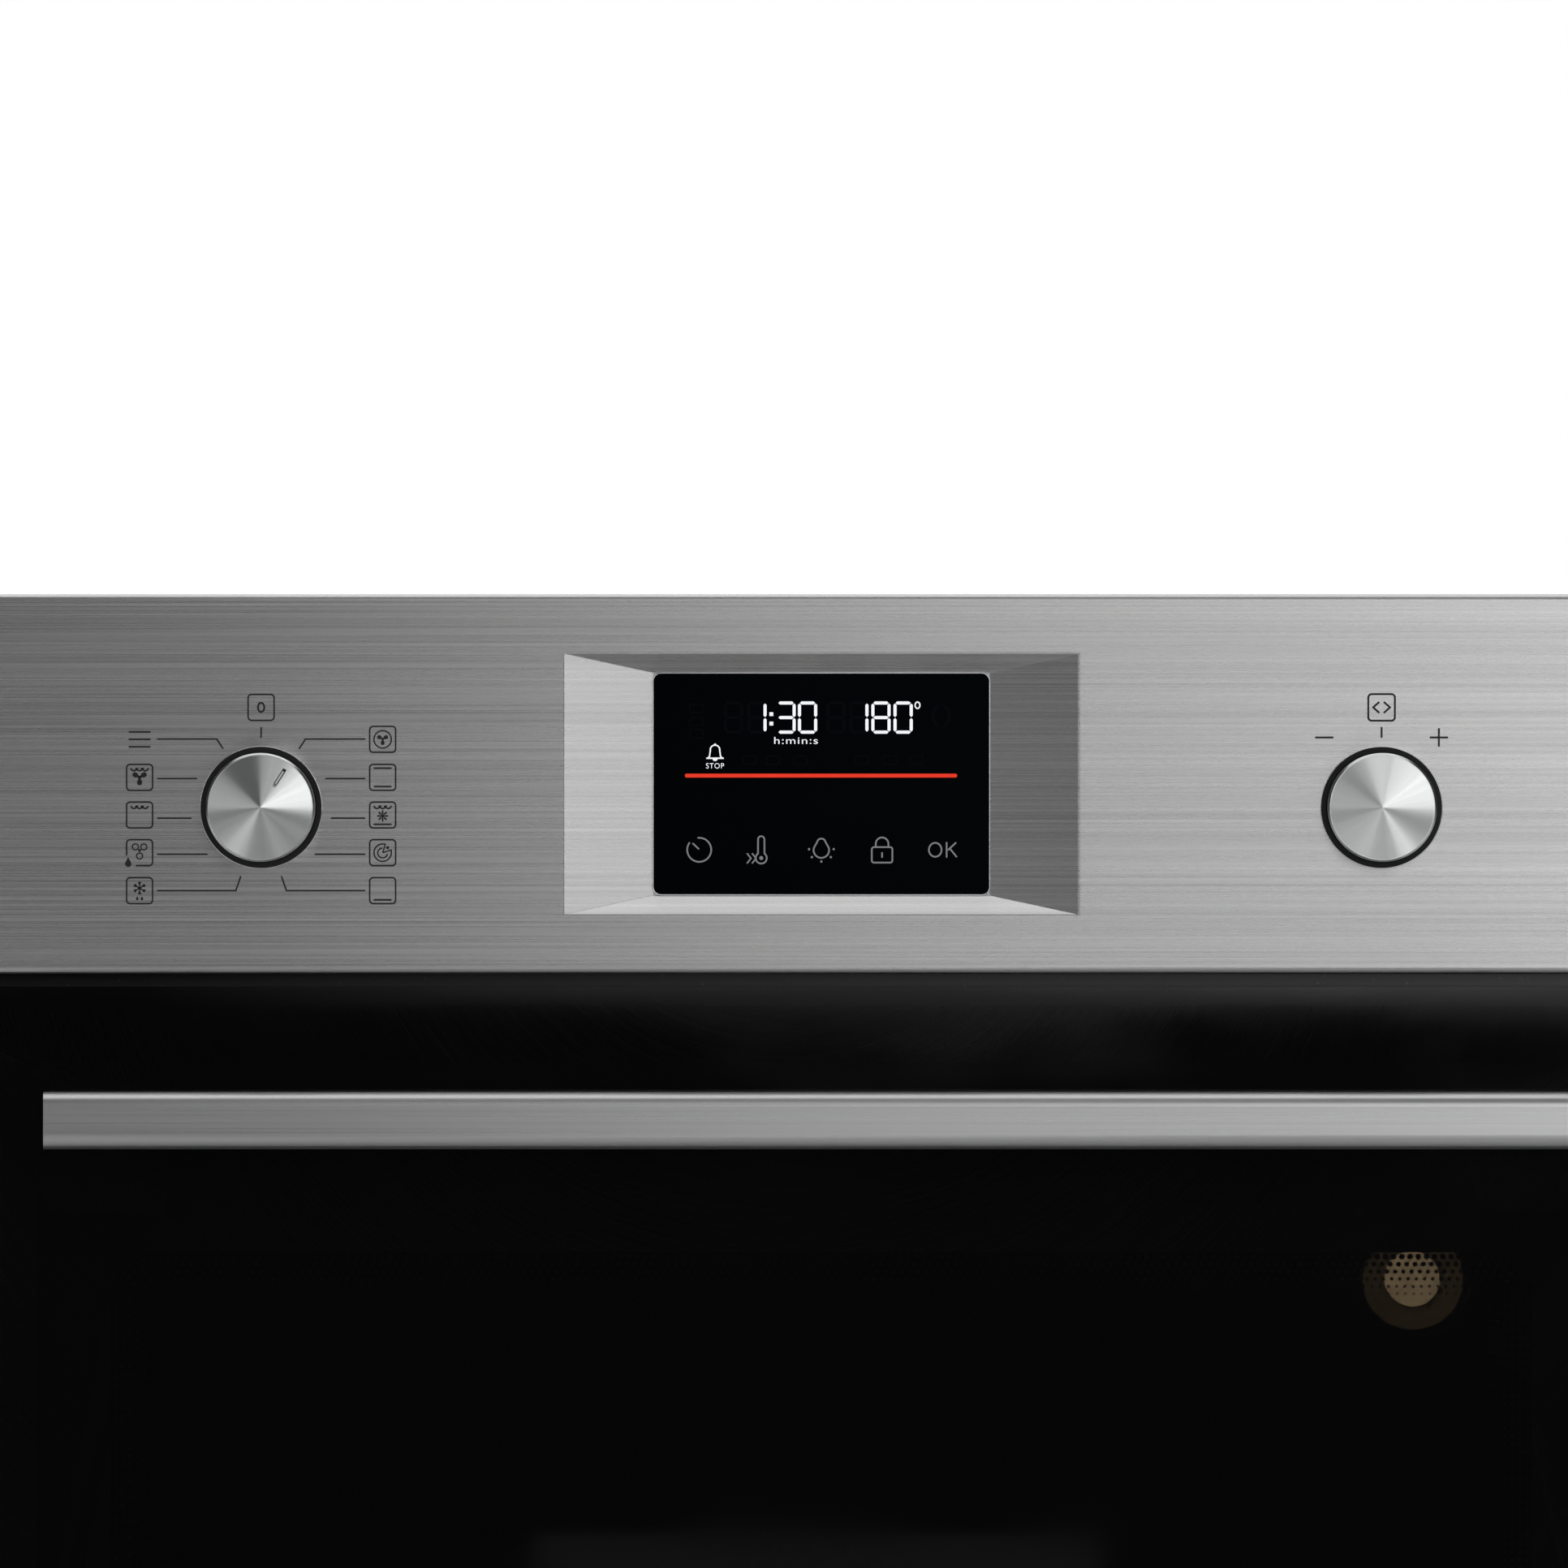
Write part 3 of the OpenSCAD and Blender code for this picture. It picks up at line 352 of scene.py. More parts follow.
@dataclass(frozen=True)
class Enamel(Finish):
    """Vitreous enamel: a glossy coat over a speckled ground."""

    speckle: Colour = (0.35, 0.37, 0.42)
    edge: float = 1.0 * MM

    def pattern(self, shader: Shader) -> None:
        """Adds light speckles and a faint orange-peel."""
        grains = shader.add("ShaderNodeTexVoronoi", {
            "Vector": shader.scaled(420.0), "Scale": 1.0})
        spots = shader.spread(grains.outputs["Distance"], 1.0, 0.0, (0.08, 0.2))
        chance = shader.spread(shader.noise(260.0), 0.0, 1.0, (0.52, 0.6))
        shader.tint(shader.math("MULTIPLY", spots, chance), self.tone, self.speckle)
        shader.set("Coat Weight", 0.6)
        shader.set("Coat Roughness", 0.08)
        shader.relief(shader.noise(140.0), 0.2 * MM, 0.25, self.edge)


@dataclass(frozen=True)
class Galvanised(Finish):
    """Zinc-coated sheet with its crystal spangle."""

    metallic: float = 1.0
    edge: float = 0.6 * MM

    def pattern(self, shader: Shader) -> None:
        """Adds crystals, each with its own tone and gloss, and a cloud of handling marks."""
        cells = shader.add("ShaderNodeTexVoronoi", {
            "Vector": shader.scaled(110.0), "Scale": 1.0, "Randomness": 1.0})
        level = shader.add("ShaderNodeSeparateColor", {0: cells.outputs["Color"]}).outputs[0]
        cloud = shader.noise(9.0, 4.0)
        mixed = shader.blend((level, 0.5), (cloud, 0.5))
        shader.tint(mixed, lighter(self.tone, 0.86), lighter(self.tone, 1.12))
        shader.uneven(mixed, self.roughness, 0.08, (0.2, 0.8))
        shader.relief(cloud, 0.3 * MM, 0.12, self.edge)


@dataclass(frozen=True)
class Moulded(Finish):
    """Moulded plastic or powder coat with a fine leathery texture."""

    texture: float = 0.03 * MM
    edge: float = 0.3 * MM

    def pattern(self, shader: Shader) -> None:
        """Adds the mould's fine texture and uneven gloss."""
        pebbles = shader.noise(2600.0)
        cloud = shader.noise(40.0, 3.0)
        shader.tint(cloud, lighter(self.tone, 0.85), lighter(self.tone, 1.15))
        shader.uneven(cloud, self.roughness, 0.1)
        shader.relief(pebbles, self.texture, 0.5, self.edge)


@dataclass(frozen=True)
class Glass(Finish):
    """Flat glass, tinted or clear, that shows what lies behind it."""

    opacity: float = 1.0
    mirror: float = 0.5

    def pattern(self, shader: Shader) -> None:
        """Adds the opacity and the faintest smear of handling."""
        smear = shader.noise((14.0, 14.0, 30.0), 5.0)
        shader.drive("Roughness", shader.spread(smear, self.roughness,
                                                self.roughness * 2.2, (0.4, 0.75)))
        shader.set("IOR", 1.5)
        shader.set("Specular IOR Level", self.mirror)
        shader.set("Alpha", self.opacity)


@dataclass(frozen=True)
class Glow(Finish):
    """A lit mark or lamp, or the faint painted glow given to unlit marks."""

    strength: float = 1.0

    def pattern(self, shader: Shader) -> None:
        """Adds light, a little uneven as behind a diffuser."""
        cloud = shader.noise(420.0)
        shader.tint(shader.spread(cloud, 0.0, 1.0), lighter(self.tone, 0.94), self.tone,
                    "Emission Color")
        shader.set("Emission Strength", self.strength)
        shader.set("Base Color", (0.0, 0.0, 0.0, 1.0))
        shader.set("Specular IOR Level", 0.02)


@dataclass(frozen=True)
class Fibre(Finish):
    """Loose or braided fibres."""

    pitch: float = 400.0

    def pattern(self, shader: Shader) -> None:
        """Adds crossing fibres in tone and relief."""
        strands = shader.noise((self.pitch, self.pitch * 0.12, self.pitch), 4.0)
        crossing = shader.noise((self.pitch * 0.12, self.pitch, self.pitch * 0.5), 4.0)
        mixed = shader.blend((strands, 0.5), (crossing, 0.5))
        shader.tint(shader.spread(mixed, 0.0, 1.0, (0.4, 0.6)), lighter(self.tone, 0.55),
                    lighter(self.tone, 1.35))
        shader.relief(mixed, 2.0 * MM, 0.7)


@dataclass(frozen=True)
class HeatedTube(Finish):
    """A steel heating tube, browned by heat along its length."""

    metallic: float = 1.0

    def pattern(self, shader: Shader) -> None:
        """Adds the heat bloom and a dry scale."""
        bloom = shader.noise(16.0, 3.0)
        shader.tint(shader.spread(bloom, 0.0, 1.0), self.tone,
                    (self.tone[0] * 1.7, self.tone[1] * 1.3, self.tone[2] * 1.1))
        shader.relief(shader.noise(900.0), 0.05 * MM, 0.4)


STEEL = BrushedMetal("brushed_steel", (0.62, 0.62, 0.62), 0.28)
STEEL_TRIM = BrushedMetal("brushed_steel_trim", (0.5, 0.5, 0.505), 0.34)
HANDLE = BrushedMetal("handle_metal", (0.62, 0.62, 0.625), 0.30, contrast=0.16)
KNOB_METAL = BrushedMetal("knob_metal", (0.8, 0.81, 0.81), 0.24, marks=Marks.INWARDS, contrast=0.06,
                          directional=0.3, edge=0.15 * MM)
POLISHED = Finish("polished_edge", (0.86, 0.86, 0.87), 0.16, 1.0)
CHROME = Finish("chrome_plate", (0.72, 0.72, 0.73), 0.09, 1.0)
ZINC = Galvanised("galvanised_sheet", (0.50, 0.52, 0.53), 0.42)
PLATED = Galvanised("plated_steel", (0.46, 0.47, 0.48), 0.34)
BLACK_PLASTIC = Moulded("black_plastic", (0.012, 0.012, 0.013), 0.42)
RING_PLASTIC = Moulded("ring_plastic", (0.0015, 0.0015, 0.0016), 0.6, texture=0.008 * MM)
WHITE_PLASTIC = Moulded("white_plastic", (0.62, 0.62, 0.6), 0.45)
# Painted highlight: the light line and dot in the selector knob's pointer groove.
POINTER_HIGHLIGHT_PLASTIC = Moulded("painted_highlight_plastic", (0.86, 0.86, 0.85), 0.4, texture=0.004 * MM, edge=0.0)
POWDER_COAT = Moulded("powder_coat", (0.016, 0.016, 0.017), 0.5, texture=0.08 * MM)
BOARD = Moulded("circuit_board", (0.012, 0.11, 0.045), 0.35)
CAVITY_ENAMEL = Enamel("cavity_enamel", (0.022, 0.024, 0.032), 0.28)
FRAME_ENAMEL = Enamel("frame_enamel", (0.014, 0.014, 0.016), 0.3, speckle=(0.06, 0.06, 0.065))
TRAY_ENAMEL = Enamel("tray_enamel", (0.02, 0.021, 0.025), 0.24)
TUBE = HeatedTube("heating_tube", (0.13, 0.115, 0.105), 0.42)
WOOL = Fibre("mineral_wool", (0.52, 0.46, 0.28), 0.95)
ROPE = Fibre("rope_seal", (0.05, 0.05, 0.052), 0.85, pitch=900.0)
DISPLAY_GLASS = Glass("display_glass", (0.0002, 0.0011, 0.0022), 0.08, mirror=0.02)
DOOR_GLASS = Glass("door_glass", (0.004, 0.004, 0.005), 0.03, opacity=0.62)
CLEAR_GLASS = Glass("clear_glass", (0.02, 0.024, 0.024), 0.03, opacity=0.12)
LENS = Glass("lamp_lens", (0.75, 0.72, 0.62), 0.12, opacity=0.45)
LAMP = Glow("lamp_glow", (1.0, 0.72, 0.4), 0.4, strength=3.0)
# Black print on the panel; the same finish is also the painted shadow in the selector knob's
# pointer groove.
INK_AND_PAINTED_SHADOW = Moulded("panel_print_and_painted_shadow", (0.008, 0.008, 0.009), 0.5, texture=0.006 * MM, edge=0.0)
MASK = Moulded("door_print", (0.003, 0.003, 0.0035), 0.4, texture=0.006 * MM, edge=0.0)
LIT_WHITE = Glow("lit_white", (0.95, 0.98, 1.0), 0.3)
LIT_GREY = Glow("lit_grey", (0.2, 0.205, 0.21), 0.3)
LIT_RED = Glow("lit_red", (0.83, 0.045, 0.022), 0.3)
# Painted glow: the unlit display marks glow faintly instead of showing by their own reflectance.
UNLIT_PAINTED_GLOW = Glow("unlit_segment_painted_glow", (0.0012, 0.0022, 0.0028), 0.3)


def place_object(name: str, data: bpy.types.ID) -> bpy.types.Object:
    """Adds an object to the scene."""
    made = bpy.data.objects.new(name, data)
    bpy.context.scene.collection.objects.link(made)
    return made


def settle(mesh: bmesh.types.BMesh, name: str, outward: bool = True) -> bpy.types.Mesh:
    """Turns a mesh under construction into a plain one.

    Args:
        mesh: The mesh under construction, which is freed.
        name: The new mesh's name.
        outward: Whether its faces are first turned outwards.

    Returns:
        The plain mesh.
    """
    if outward:
        bmesh.ops.recalc_face_normals(mesh, faces=mesh.faces)
    made = bpy.data.meshes.new(name)
    mesh.to_mesh(made)
    mesh.free()
    return made


def baked(host: bpy.types.Object) -> bpy.types.Mesh:
    """The mesh that an object's text or modifiers make; the object itself is removed."""
    graph = bpy.context.evaluated_depsgraph_get()
    mesh = bpy.data.meshes.new_from_object(host.evaluated_get(graph))
    bpy.data.objects.remove(host)
    return mesh


def dress(finish: Finish, *nodes: str) -> None:
    """Gives carried-over nodes a finish.

    Args:
        finish: The finish.
        nodes: The nodes' names.
    """
    material = finish.make()
    for name in nodes:
        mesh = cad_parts[name].data
        mesh.materials.clear()
        mesh.materials.append(material)


def add_piece(mesh: bpy.types.Mesh, name: str, body: str,
              finish: Finish) -> bpy.types.Object:
    """Makes a mesh a finished piece of the oven.

    Args:
        mesh: The piece's mesh, in the oven's frame.
        name: The piece's name.
        body: The body that it moves with.
        finish: Its finish.

    Returns:
        The piece.
    """
    piece = place_object(name, mesh)
    mesh.materials.clear()
    mesh.materials.append(finish.make())
    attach(piece, body)
    log.info("%s: %d faces, on %s", name, len(mesh.polygons), body)
    return piece


# ---------------------------------------------------------------- flat marks


def arc(centre: Point, radius: float, start: float, end: float, steps: int = 16,
        stretch: float = 1.0) -> list[Point]:
    """Points along an arc, anticlockwise.

    Args:
        centre: The arc's centre.
        radius: Its radius.
        start: Where it starts, in degrees from the right.
        end: Where it ends, in degrees.
        steps: The number of straight stretches.
        stretch: Height over width.

    Returns:
        The points, both ends included.
    """
    turns = [math.radians(start + (end - start) * i / steps) for i in range(steps + 1)]
    return [(centre[0] + radius * math.cos(t), centre[1] + radius * stretch * math.sin(t))
            for t in turns]


def rounded_box(width: float, height: float, radius: float, steps: int = 6) -> list[Point]:
    """Points round a box with rounded corners, centred, anticlockwise."""
    points: list[Point] = []
    for quarter, (sx, sz) in enumerate(((1, 1), (-1, 1), (-1, -1), (1, -1))):
        middle = (sx * (width / 2 - radius), sz * (height / 2 - radius))
        points += arc(middle, radius, 90 * quarter, 90 * quarter + 90, steps)
    return points


class Plotter:
    """Draws flat marks on a face that looks to the front, as one thin closed mesh.

    Marks are in millimetres from the current spot, x to the right and z up.
    """

    def __init__(self, origin: Vector, depth: float = INK_DEPTH) -> None:
        """Starts a drawing.

        Args:
            origin: The drawing's middle, on the face.
            depth: How far the marks stand proud of the face, in millimetres.
        """
        self.origin = origin
        self.depth = depth * MM
        self.mesh = bmesh.new()
        self.spot = (0.0, 0.0)
        self.flip = 1.0

    def move(self, x: float, z: float, flip: float = 1.0) -> "Plotter":
        """Puts the current spot at a place; a flip of -1 mirrors what is drawn there."""
        self.spot = (x, z)
        self.flip = flip
        return self

    def corner(self, point: Point, proud: bool) -> bmesh.types.BMVert:
        """A vertex at a point, on the face or proud of it."""
        x = self.spot[0] + self.flip * point[0]
        z = self.spot[1] + point[1]
        y = -self.depth if proud else 0.0
        return self.mesh.verts.new(self.origin + Vector((x * MM, y, z * MM)))

    def stroke(self, points: list[Point], width: float, closed: bool = False) -> None:
        """Draws a line of constant width with mitred corners.

        Args:
            points: The line's points.
            width: Its width.
            closed: Whether its end meets its start.
        """
        count = len(points)
        rows = []
        for i, point in enumerate(points):
            before = points[i - 1] if closed or i > 0 else None
            after = points[(i + 1) % count] if closed or i < count - 1 else None
            into = Vector(point) - Vector(before) if before else Vector(after) - Vector(point)
            out = Vector(after) - Vector(point) if after else into
            into, out = into.normalized(), out.normalized()
            side = Vector((-into[1] - out[1], into[0] + out[0])).normalized()
            reach = width / 2 / max(0.35, side.dot(Vector((-into[1], into[0]))))
            left = (point[0] + side[0] * reach, point[1] + side[1] * reach)
            right = (point[0] - side[0] * reach, point[1] - side[1] * reach)
            rows.append([self.corner(left, True), self.corner(right, True),
                         self.corner(right, False), self.corner(left, False)])
        for i in range(count if closed else count - 1):
            join_rows(self.mesh, rows[i], rows[(i + 1) % count])
        if not closed:
            self.mesh.faces.new(rows[0])
            self.mesh.faces.new(rows[-1])

    def fill(self, points: list[Point]) -> None:
        """Draws a filled outline."""
        front = [self.corner(p, True) for p in points]
        back = [self.corner(p, False) for p in points]
        self.mesh.faces.new(front)
        self.mesh.faces.new(back)
        join_rows(self.mesh, front, back)

    def disc(self, centre: Point, radius: float, stretch: float = 1.0) -> None:
        """Draws a filled circle or ellipse."""
        self.fill(arc(centre, radius, 0, 360, 20, stretch)[:-1])

    def ring(self, centre: Point, radius: float, width: float, stretch: float = 1.0) -> None:
        """Draws a circle or an ellipse as a line."""
        self.stroke(arc(centre, radius, 0, 360, 32, stretch)[:-1], width, closed=True)

    def finish(self, name: str, body: str, slot: str, finish: Finish) -> bpy.types.Object:
        """Makes the drawing a piece of the oven.

        Args:
            name: The piece's name.
            body: The body that it moves with.
            slot: The record's material slot; it is not used.
            finish: Its finish.

        Returns:
            The piece.
        """
        return add_piece(settle(self.mesh, name), name, body, finish)


def lettering(text: str, height: float, width: float, place: Vector) -> bpy.types.Mesh:
    """A few plain letters as a thin mesh that looks to the front.

    Args:
        text: The letters.
        height: Height of the whole, in millimetres.
        width: Width of the whole, in millimetres.
        place: The middle of the letters.

    Returns:
        The mesh, in the oven's frame.
    """
    curve = bpy.data.curves.new("letters", "FONT")
    curve.body = text
    curve.extrude = 0.01
    curve.space_character = LETTER_SPACING
    mesh = baked(place_object("letters", curve))
    spans = [[v.co[i] for v in mesh.vertices] for i in range(3)]
    low, high = Vector([min(s) for s in spans]), Vector([max(s) for s in spans])
    size = high - low
    squeeze = Matrix.Diagonal((width * MM / size[0], height * MM / size[1],
                               INK_DEPTH * MM / size[2], 1.0))
    mesh.transform(Matrix.Translation(place) @ UPRIGHT @ squeeze
                   @ Matrix.Translation(-(low + high) / 2))
    return mesh


def sweep(path: list[Vector], section: list[Point], normal: Vector) -> bpy.types.Mesh:
    """A closed loop with a small section, such as a bead round a window.

    Args:
        path: The loop's points.
        section: The section's points, outwards and along the normal.
        normal: The direction in which the loop faces.

    Returns:
        The mesh.
    """
    mesh = bmesh.new()
    count = len(path)
    rows = []
    for i, point in enumerate(path):
        ahead = (path[(i + 1) % count] - path[i - 1]).normalized()
        outward = ahead.cross(normal).normalized()
        rows.append([mesh.verts.new(point + outward * u + normal * v) for u, v in section])
    for i in range(count):
        join_rows(mesh, rows[i], rows[(i + 1) % count])
    for face in mesh.faces:
        face.smooth = True
    return settle(mesh, "sweep")


def join_rows(mesh: bmesh.types.BMesh, first: list[bmesh.types.BMVert],
              second: list[bmesh.types.BMVert]) -> None:
    """Adds a closed band of four-sided faces between two rings of vertices."""
    for i in range(len(first)):
        k = (i + 1) % len(first)
        mesh.faces.new((first[i], first[k], second[k], second[i]))


def bead(radius: float) -> list[Point]:
    """A round section for a sweep."""
    return arc((0.0, 0.0), radius, 0, 360, 10)[:-1]


# ---------------------------------------------------------------- repeated parts


class Pattern(Tree):
    """A Geometry Nodes tree that makes what repeats."""

    def __init__(self, name: str, **sizes: float) -> None:
        """Starts a tree with named sizes.

        Args:
            name: The tree's name.
            sizes: The named inputs and their values.
        """
        self.tree = bpy.data.node_groups.new(name, "GeometryNodeTree")
        self.sizes = sizes
        face = self.tree.interface
        face.new_socket("Geometry", in_out="INPUT", socket_type="NodeSocketGeometry")
        for size in sizes:
            face.new_socket(size, in_out="INPUT", socket_type="NodeSocketFloat")
        face.new_socket("Unit", in_out="INPUT", socket_type="NodeSocketObject")
        face.new_socket("Geometry", in_out="OUTPUT", socket_type="NodeSocketGeometry")
        self.source = self.tree.nodes.new("NodeGroupInput")

    def size(self, name: str) -> bpy.types.NodeSocket:
        """The socket of a named size."""
        return self.source.outputs[name]

    def bake(self, result: bpy.types.NodeSocket, finish: Finish,
             host_mesh: bpy.types.Mesh, unit: bpy.types.Object | None = None) -> bpy.types.Mesh:
        """Ends the tree and turns its result into a plain mesh.

        Args:
            result: The geometry to keep, instances included.
            finish: Its finish.
            host_mesh: The mesh that the tree starts from.
            unit: The object that is repeated, where the tree uses one.

        Returns:
            The finished mesh.
        """
        solid = self.add("GeometryNodeRealizeInstances", {"Geometry": result})
        dressed = self.add("GeometryNodeSetMaterial", {"Geometry": solid.outputs[0],
                                                       "Material": finish.make()})
        self.add("NodeGroupOutput", {"Geometry": dressed.outputs[0]})
        host = place_object("pattern_host", host_mesh)
        modifier = host.modifiers.new("pattern", "NODES")
        modifier.node_group = self.tree
        keys = {item.name: item.identifier for item in self.tree.interface.items_tree
                if item.in_out == "INPUT"}
        for name, value in self.sizes.items():
            modifier[keys[name]] = value
        if unit:
            modifier[keys["Unit"]] = unit
        return baked(host)


def points_mesh(name: str, points: list[Vector]) -> bpy.types.Mesh:
    """A mesh of loose points, which a pattern starts from."""
    mesh = bpy.data.meshes.new(name)
    mesh.from_pydata([tuple(p) for p in points], [], [])
    return mesh


# ---------------------------------------------------------------- control panel


@dataclass
class Selector:
    """The signs printed round the left knob, in millimetres from its axis."""

    line: float = 0.5
    bar_line: float = 0.55
    ring_line: float = 0.45
    fine_line: float = 0.42
    ring: float = 2.75
    bar_height: float = 2.9
    box: float = 8.2
    box_radius: float = 1.1
    column: float = 38.4
    rows: tuple[float, ...] = (21.5, 9.5, -2.4, -14.3, -26.3)
    leaders: tuple[tuple[Point, ...], ...] = (
        ((32.9, 21.6), (14.0, 21.6), (12.0, 18.5)),
        ((32.9, 9.1), (20.2, 9.1)),
        ((32.9, -3.4), (22.0, -3.4)),
        ((32.9, -14.8), (16.9, -14.8)),
        ((32.9, -26.3), (8.0, -26.3), (6.4, -21.7)),
    )
    zero_height: float = 31.6
    tick: Point = (22.0, 25.4)
    blade: tuple[Point, ...] = ((0.1, -0.08), (0.55, -0.34), (0.92, -0.26), (1.0, 0.0),
                                (0.92, 0.26), (0.55, 0.34), (0.1, 0.08))
    many_blades: float = 0.17 / 0.36

    def frame_box(self, pen: Plotter) -> None:
        """Draws the rounded square that most signs stand in."""
        pen.stroke(rounded_box(self.box, self.box, self.box_radius), self.line, closed=True)

    def top_wave(self, pen: Plotter) -> None:
        """Draws the grill sign: a row of scallops under the top edge."""
        points: list[Point] = []
        for i in range(3):
            points += arc((-1.8 + 1.8 * i, 2.95), 0.9, 180, 360, 8)
        pen.stroke(points, self.line)

    def bar(self, pen: Plotter, height: float) -> None:
        """Draws a plain heating bar at a height."""
        pen.stroke([(-2.8, height), (2.8, height)], self.bar_line)

    def blades(self, pen: Plotter, height: float, reach: float, count: int = 3) -> None:
        """Draws a fan with solid blades.

        Args:
            pen: The drawing.
            height: The fan's middle.
            reach: Its radius.
            count: Its number of blades.
        """
        pen.disc((0.0, height), reach * 0.22)
        for i in range(count):
            turn = math.radians(-90 + 360 * i / count)
            along = Vector((math.cos(turn), math.sin(turn)))
            side = Vector((-along[1], along[0]))
            narrow = 1.0 if count == 3 else self.many_blades
            outline = [along * (reach * u) + side * (reach * v * narrow)
                       for u, v in self.blade]
            pen.fill([(p[0], height + p[1]) for p in outline])

    def drop(self, pen: Plotter, centre: Point, size: float) -> None:
        """Draws a drop of water."""
        belly = arc(centre, size, -210, 30, 14)
        pen.fill(belly + [(centre[0], centre[1] + size * 2.1)])

    def sign_fan_ring(self, pen: Plotter) -> None:
        """Fan and ring heater."""
        self.frame_box(pen)
        pen.ring((0.0, 0.0), self.ring, self.ring_line)
        self.blades(pen, 0.1, 1.9)

    def sign_top_and_bottom(self, pen: Plotter) -> None:
        """Top and bottom heat."""
        self.frame_box(pen)
        self.bar(pen, self.bar_height)
        self.bar(pen, -self.bar_height)

    def sign_grill_and_fan(self, pen: Plotter) -> None:
        """Grill, fan and bottom heat."""
        self.frame_box(pen)
        self.top_wave(pen)
        self.blades(pen, -0.3, 1.85, 8)
        self.bar(pen, -2.95)

    def sign_crust(self, pen: Plotter) -> None:
        """Baking with a crisp base: an open ring with a slice."""
        self.frame_box(pen)
        pen.stroke(arc((0.0, 0.0), self.ring, 75, 375, 28), self.ring_line)
        pen.stroke(arc((0.0, -0.1), 1.55, 95, 350, 20), self.ring_line)
        for cut in ((0.9, 2.9), (2.9, 0.9)):
            pen.stroke([(0.0, 0.0), cut], self.fine_line)
        pen.disc((1.6, 1.6), 0.5)

    def sign_bottom(self, pen: Plotter) -> None:
        """Bottom heat."""
        self.frame_box(pen)
        self.bar(pen, -self.bar_height)

    def sign_list(self, pen: Plotter) -> None:
        """More functions: three plain bars."""
        for height in (-2.35, 0.0, 2.35):
            pen.stroke([(-3.45, height), (3.45, height)], self.bar_line)

    def sign_wave_fan(self, pen: Plotter) -> None:
        """Grill and fan."""
        self.frame_box(pen)
        self.top_wave(pen)
        self.blades(pen, 0.0, 2.5)

    def sign_wave(self, pen: Plotter) -> None:
        """Grill."""
        self.frame_box(pen)
        self.top_wave(pen)

    def sign_moist_fan(self, pen: Plotter) -> None:
        """Fan with moisture: an open box, a three-lobed fan and a drop."""
        half, radius = self.box / 2, self.box_radius
        cut = half - radius
        outline = [(-half, -0.9)]
        for x, z, start in ((-cut, cut, 180), (cut, cut, 90), (cut, -cut, 0)):
            outline += arc((x, z), radius, start, start - 90, 6)
        outline.append((-1.2, -half))
        pen.stroke(outline, self.line)
        for angle in (40, 140, 270):
            turn = math.radians(angle)
            pen.ring((1.75 * math.cos(turn), 0.7 + 1.75 * math.sin(turn)), 0.95,
                     self.fine_line)
        pen.disc((0.0, 0.7), 0.5)
        self.drop(pen, (-3.6, -3.5), 1.0)

    def sign_defrost(self, pen: Plotter) -> None:
        """Thawing: an ice star and two drops."""
        self.frame_box(pen)
        for angle in (30, 90, 150):
            turn = math.radians(angle)
            dx, dz = 2.0 * math.cos(turn), 2.0 * math.sin(turn)
            pen.stroke([(-dx, 0.8 - dz), (dx, 0.8 + dz)], self.fine_line)
            for end in (-1, 1):
                for lean in (-0.55, 0.55):
                    tip = (end * dx * 0.6, 0.8 + end * dz * 0.6)
                    out = turn + lean
                    pen.stroke([tip, (tip[0] + end * 0.85 * math.cos(out),
                                      tip[1] + end * 0.85 * math.sin(out))], 0.34)
        for x in (-0.75, 0.75):
            self.drop(pen, (x, -2.6), 0.42)

    def draw(self, face: Vector) -> None:
        """Prints all the selector's signs.

        Args:
            face: The point on the panel's face at the knob's axis.
        """
        pen = Plotter(face)
        right = (self.sign_fan_ring, self.sign_top_and_bottom, self.sign_grill_and_fan,
                 self.sign_crust, self.sign_bottom)
        left = (self.sign_list, self.sign_wave_fan, self.sign_wave, self.sign_moist_fan,
                self.sign_defrost)
        for side, signs in ((1.0, right), (-1.0, left)):
            for row, leader, sign in zip(self.rows, self.leaders, signs):
                pen.move(0.0, 0.0, side).stroke(list(leader), self.line)
                sign(pen.move(side * self.column, row))
        pen.move(0.0, 0.0).stroke([(0.0, self.tick[0]), (0.0, self.tick[1])], self.line)
        self.frame_box(pen.move(0.0, self.zero_height))
        pen.ring((0.0, 0.0), 1.0, 0.6, stretch=1.45)
        pen.finish("selector_signs", "oven", "black_plastic", INK_AND_PAINTED_SHADOW)


@dataclass
class Adjuster:
    """The signs printed round the right knob, in millimetres from its axis."""

    line: float = 0.62
    box: float = 8.4
    box_radius: float = 1.1
    box_height: float = 31.6
    tick: Point = (22.0, 25.4)
    sign_height: float = 22.1
    sign_column: float = 18.1
    sign_reach: float = 2.9
    chevron: tuple[Point, ...] = ((0.7, 1.75), (2.65, 0.0), (0.7, -1.75))

    def draw(self, face: Vector) -> None:
        """Prints the minus, the plus, the chevrons and the tick.

        Args:
            face: The point on the panel's face at the knob's axis.
        """
        pen = Plotter(face)
        pen.move(0.0, self.box_height)
        pen.stroke(rounded_box(self.box, self.box, self.box_radius), self.line, closed=True)
        for side in (-1.0, 1.0):
            pen.move(0.0, self.box_height, side).stroke(list(self.chevron), self.line)
        pen.move(0.0, 0.0).stroke([(0.0, self.tick[0]), (0.0, self.tick[1])], self.line)
        reach = self.sign_reach
        for side in (-1.0, 1.0):
            pen.move(side * self.sign_column, self.sign_height)
            pen.stroke([(-reach, 0.0), (reach, 0.0)], self.line)
        for end in (-1.0, 1.0):
            pen.stroke([(0.0, end * self.line / 2), (0.0, end * reach)], self.line)
        pen.finish("adjuster_signs", "oven", "black_plastic", INK_AND_PAINTED_SHADOW)


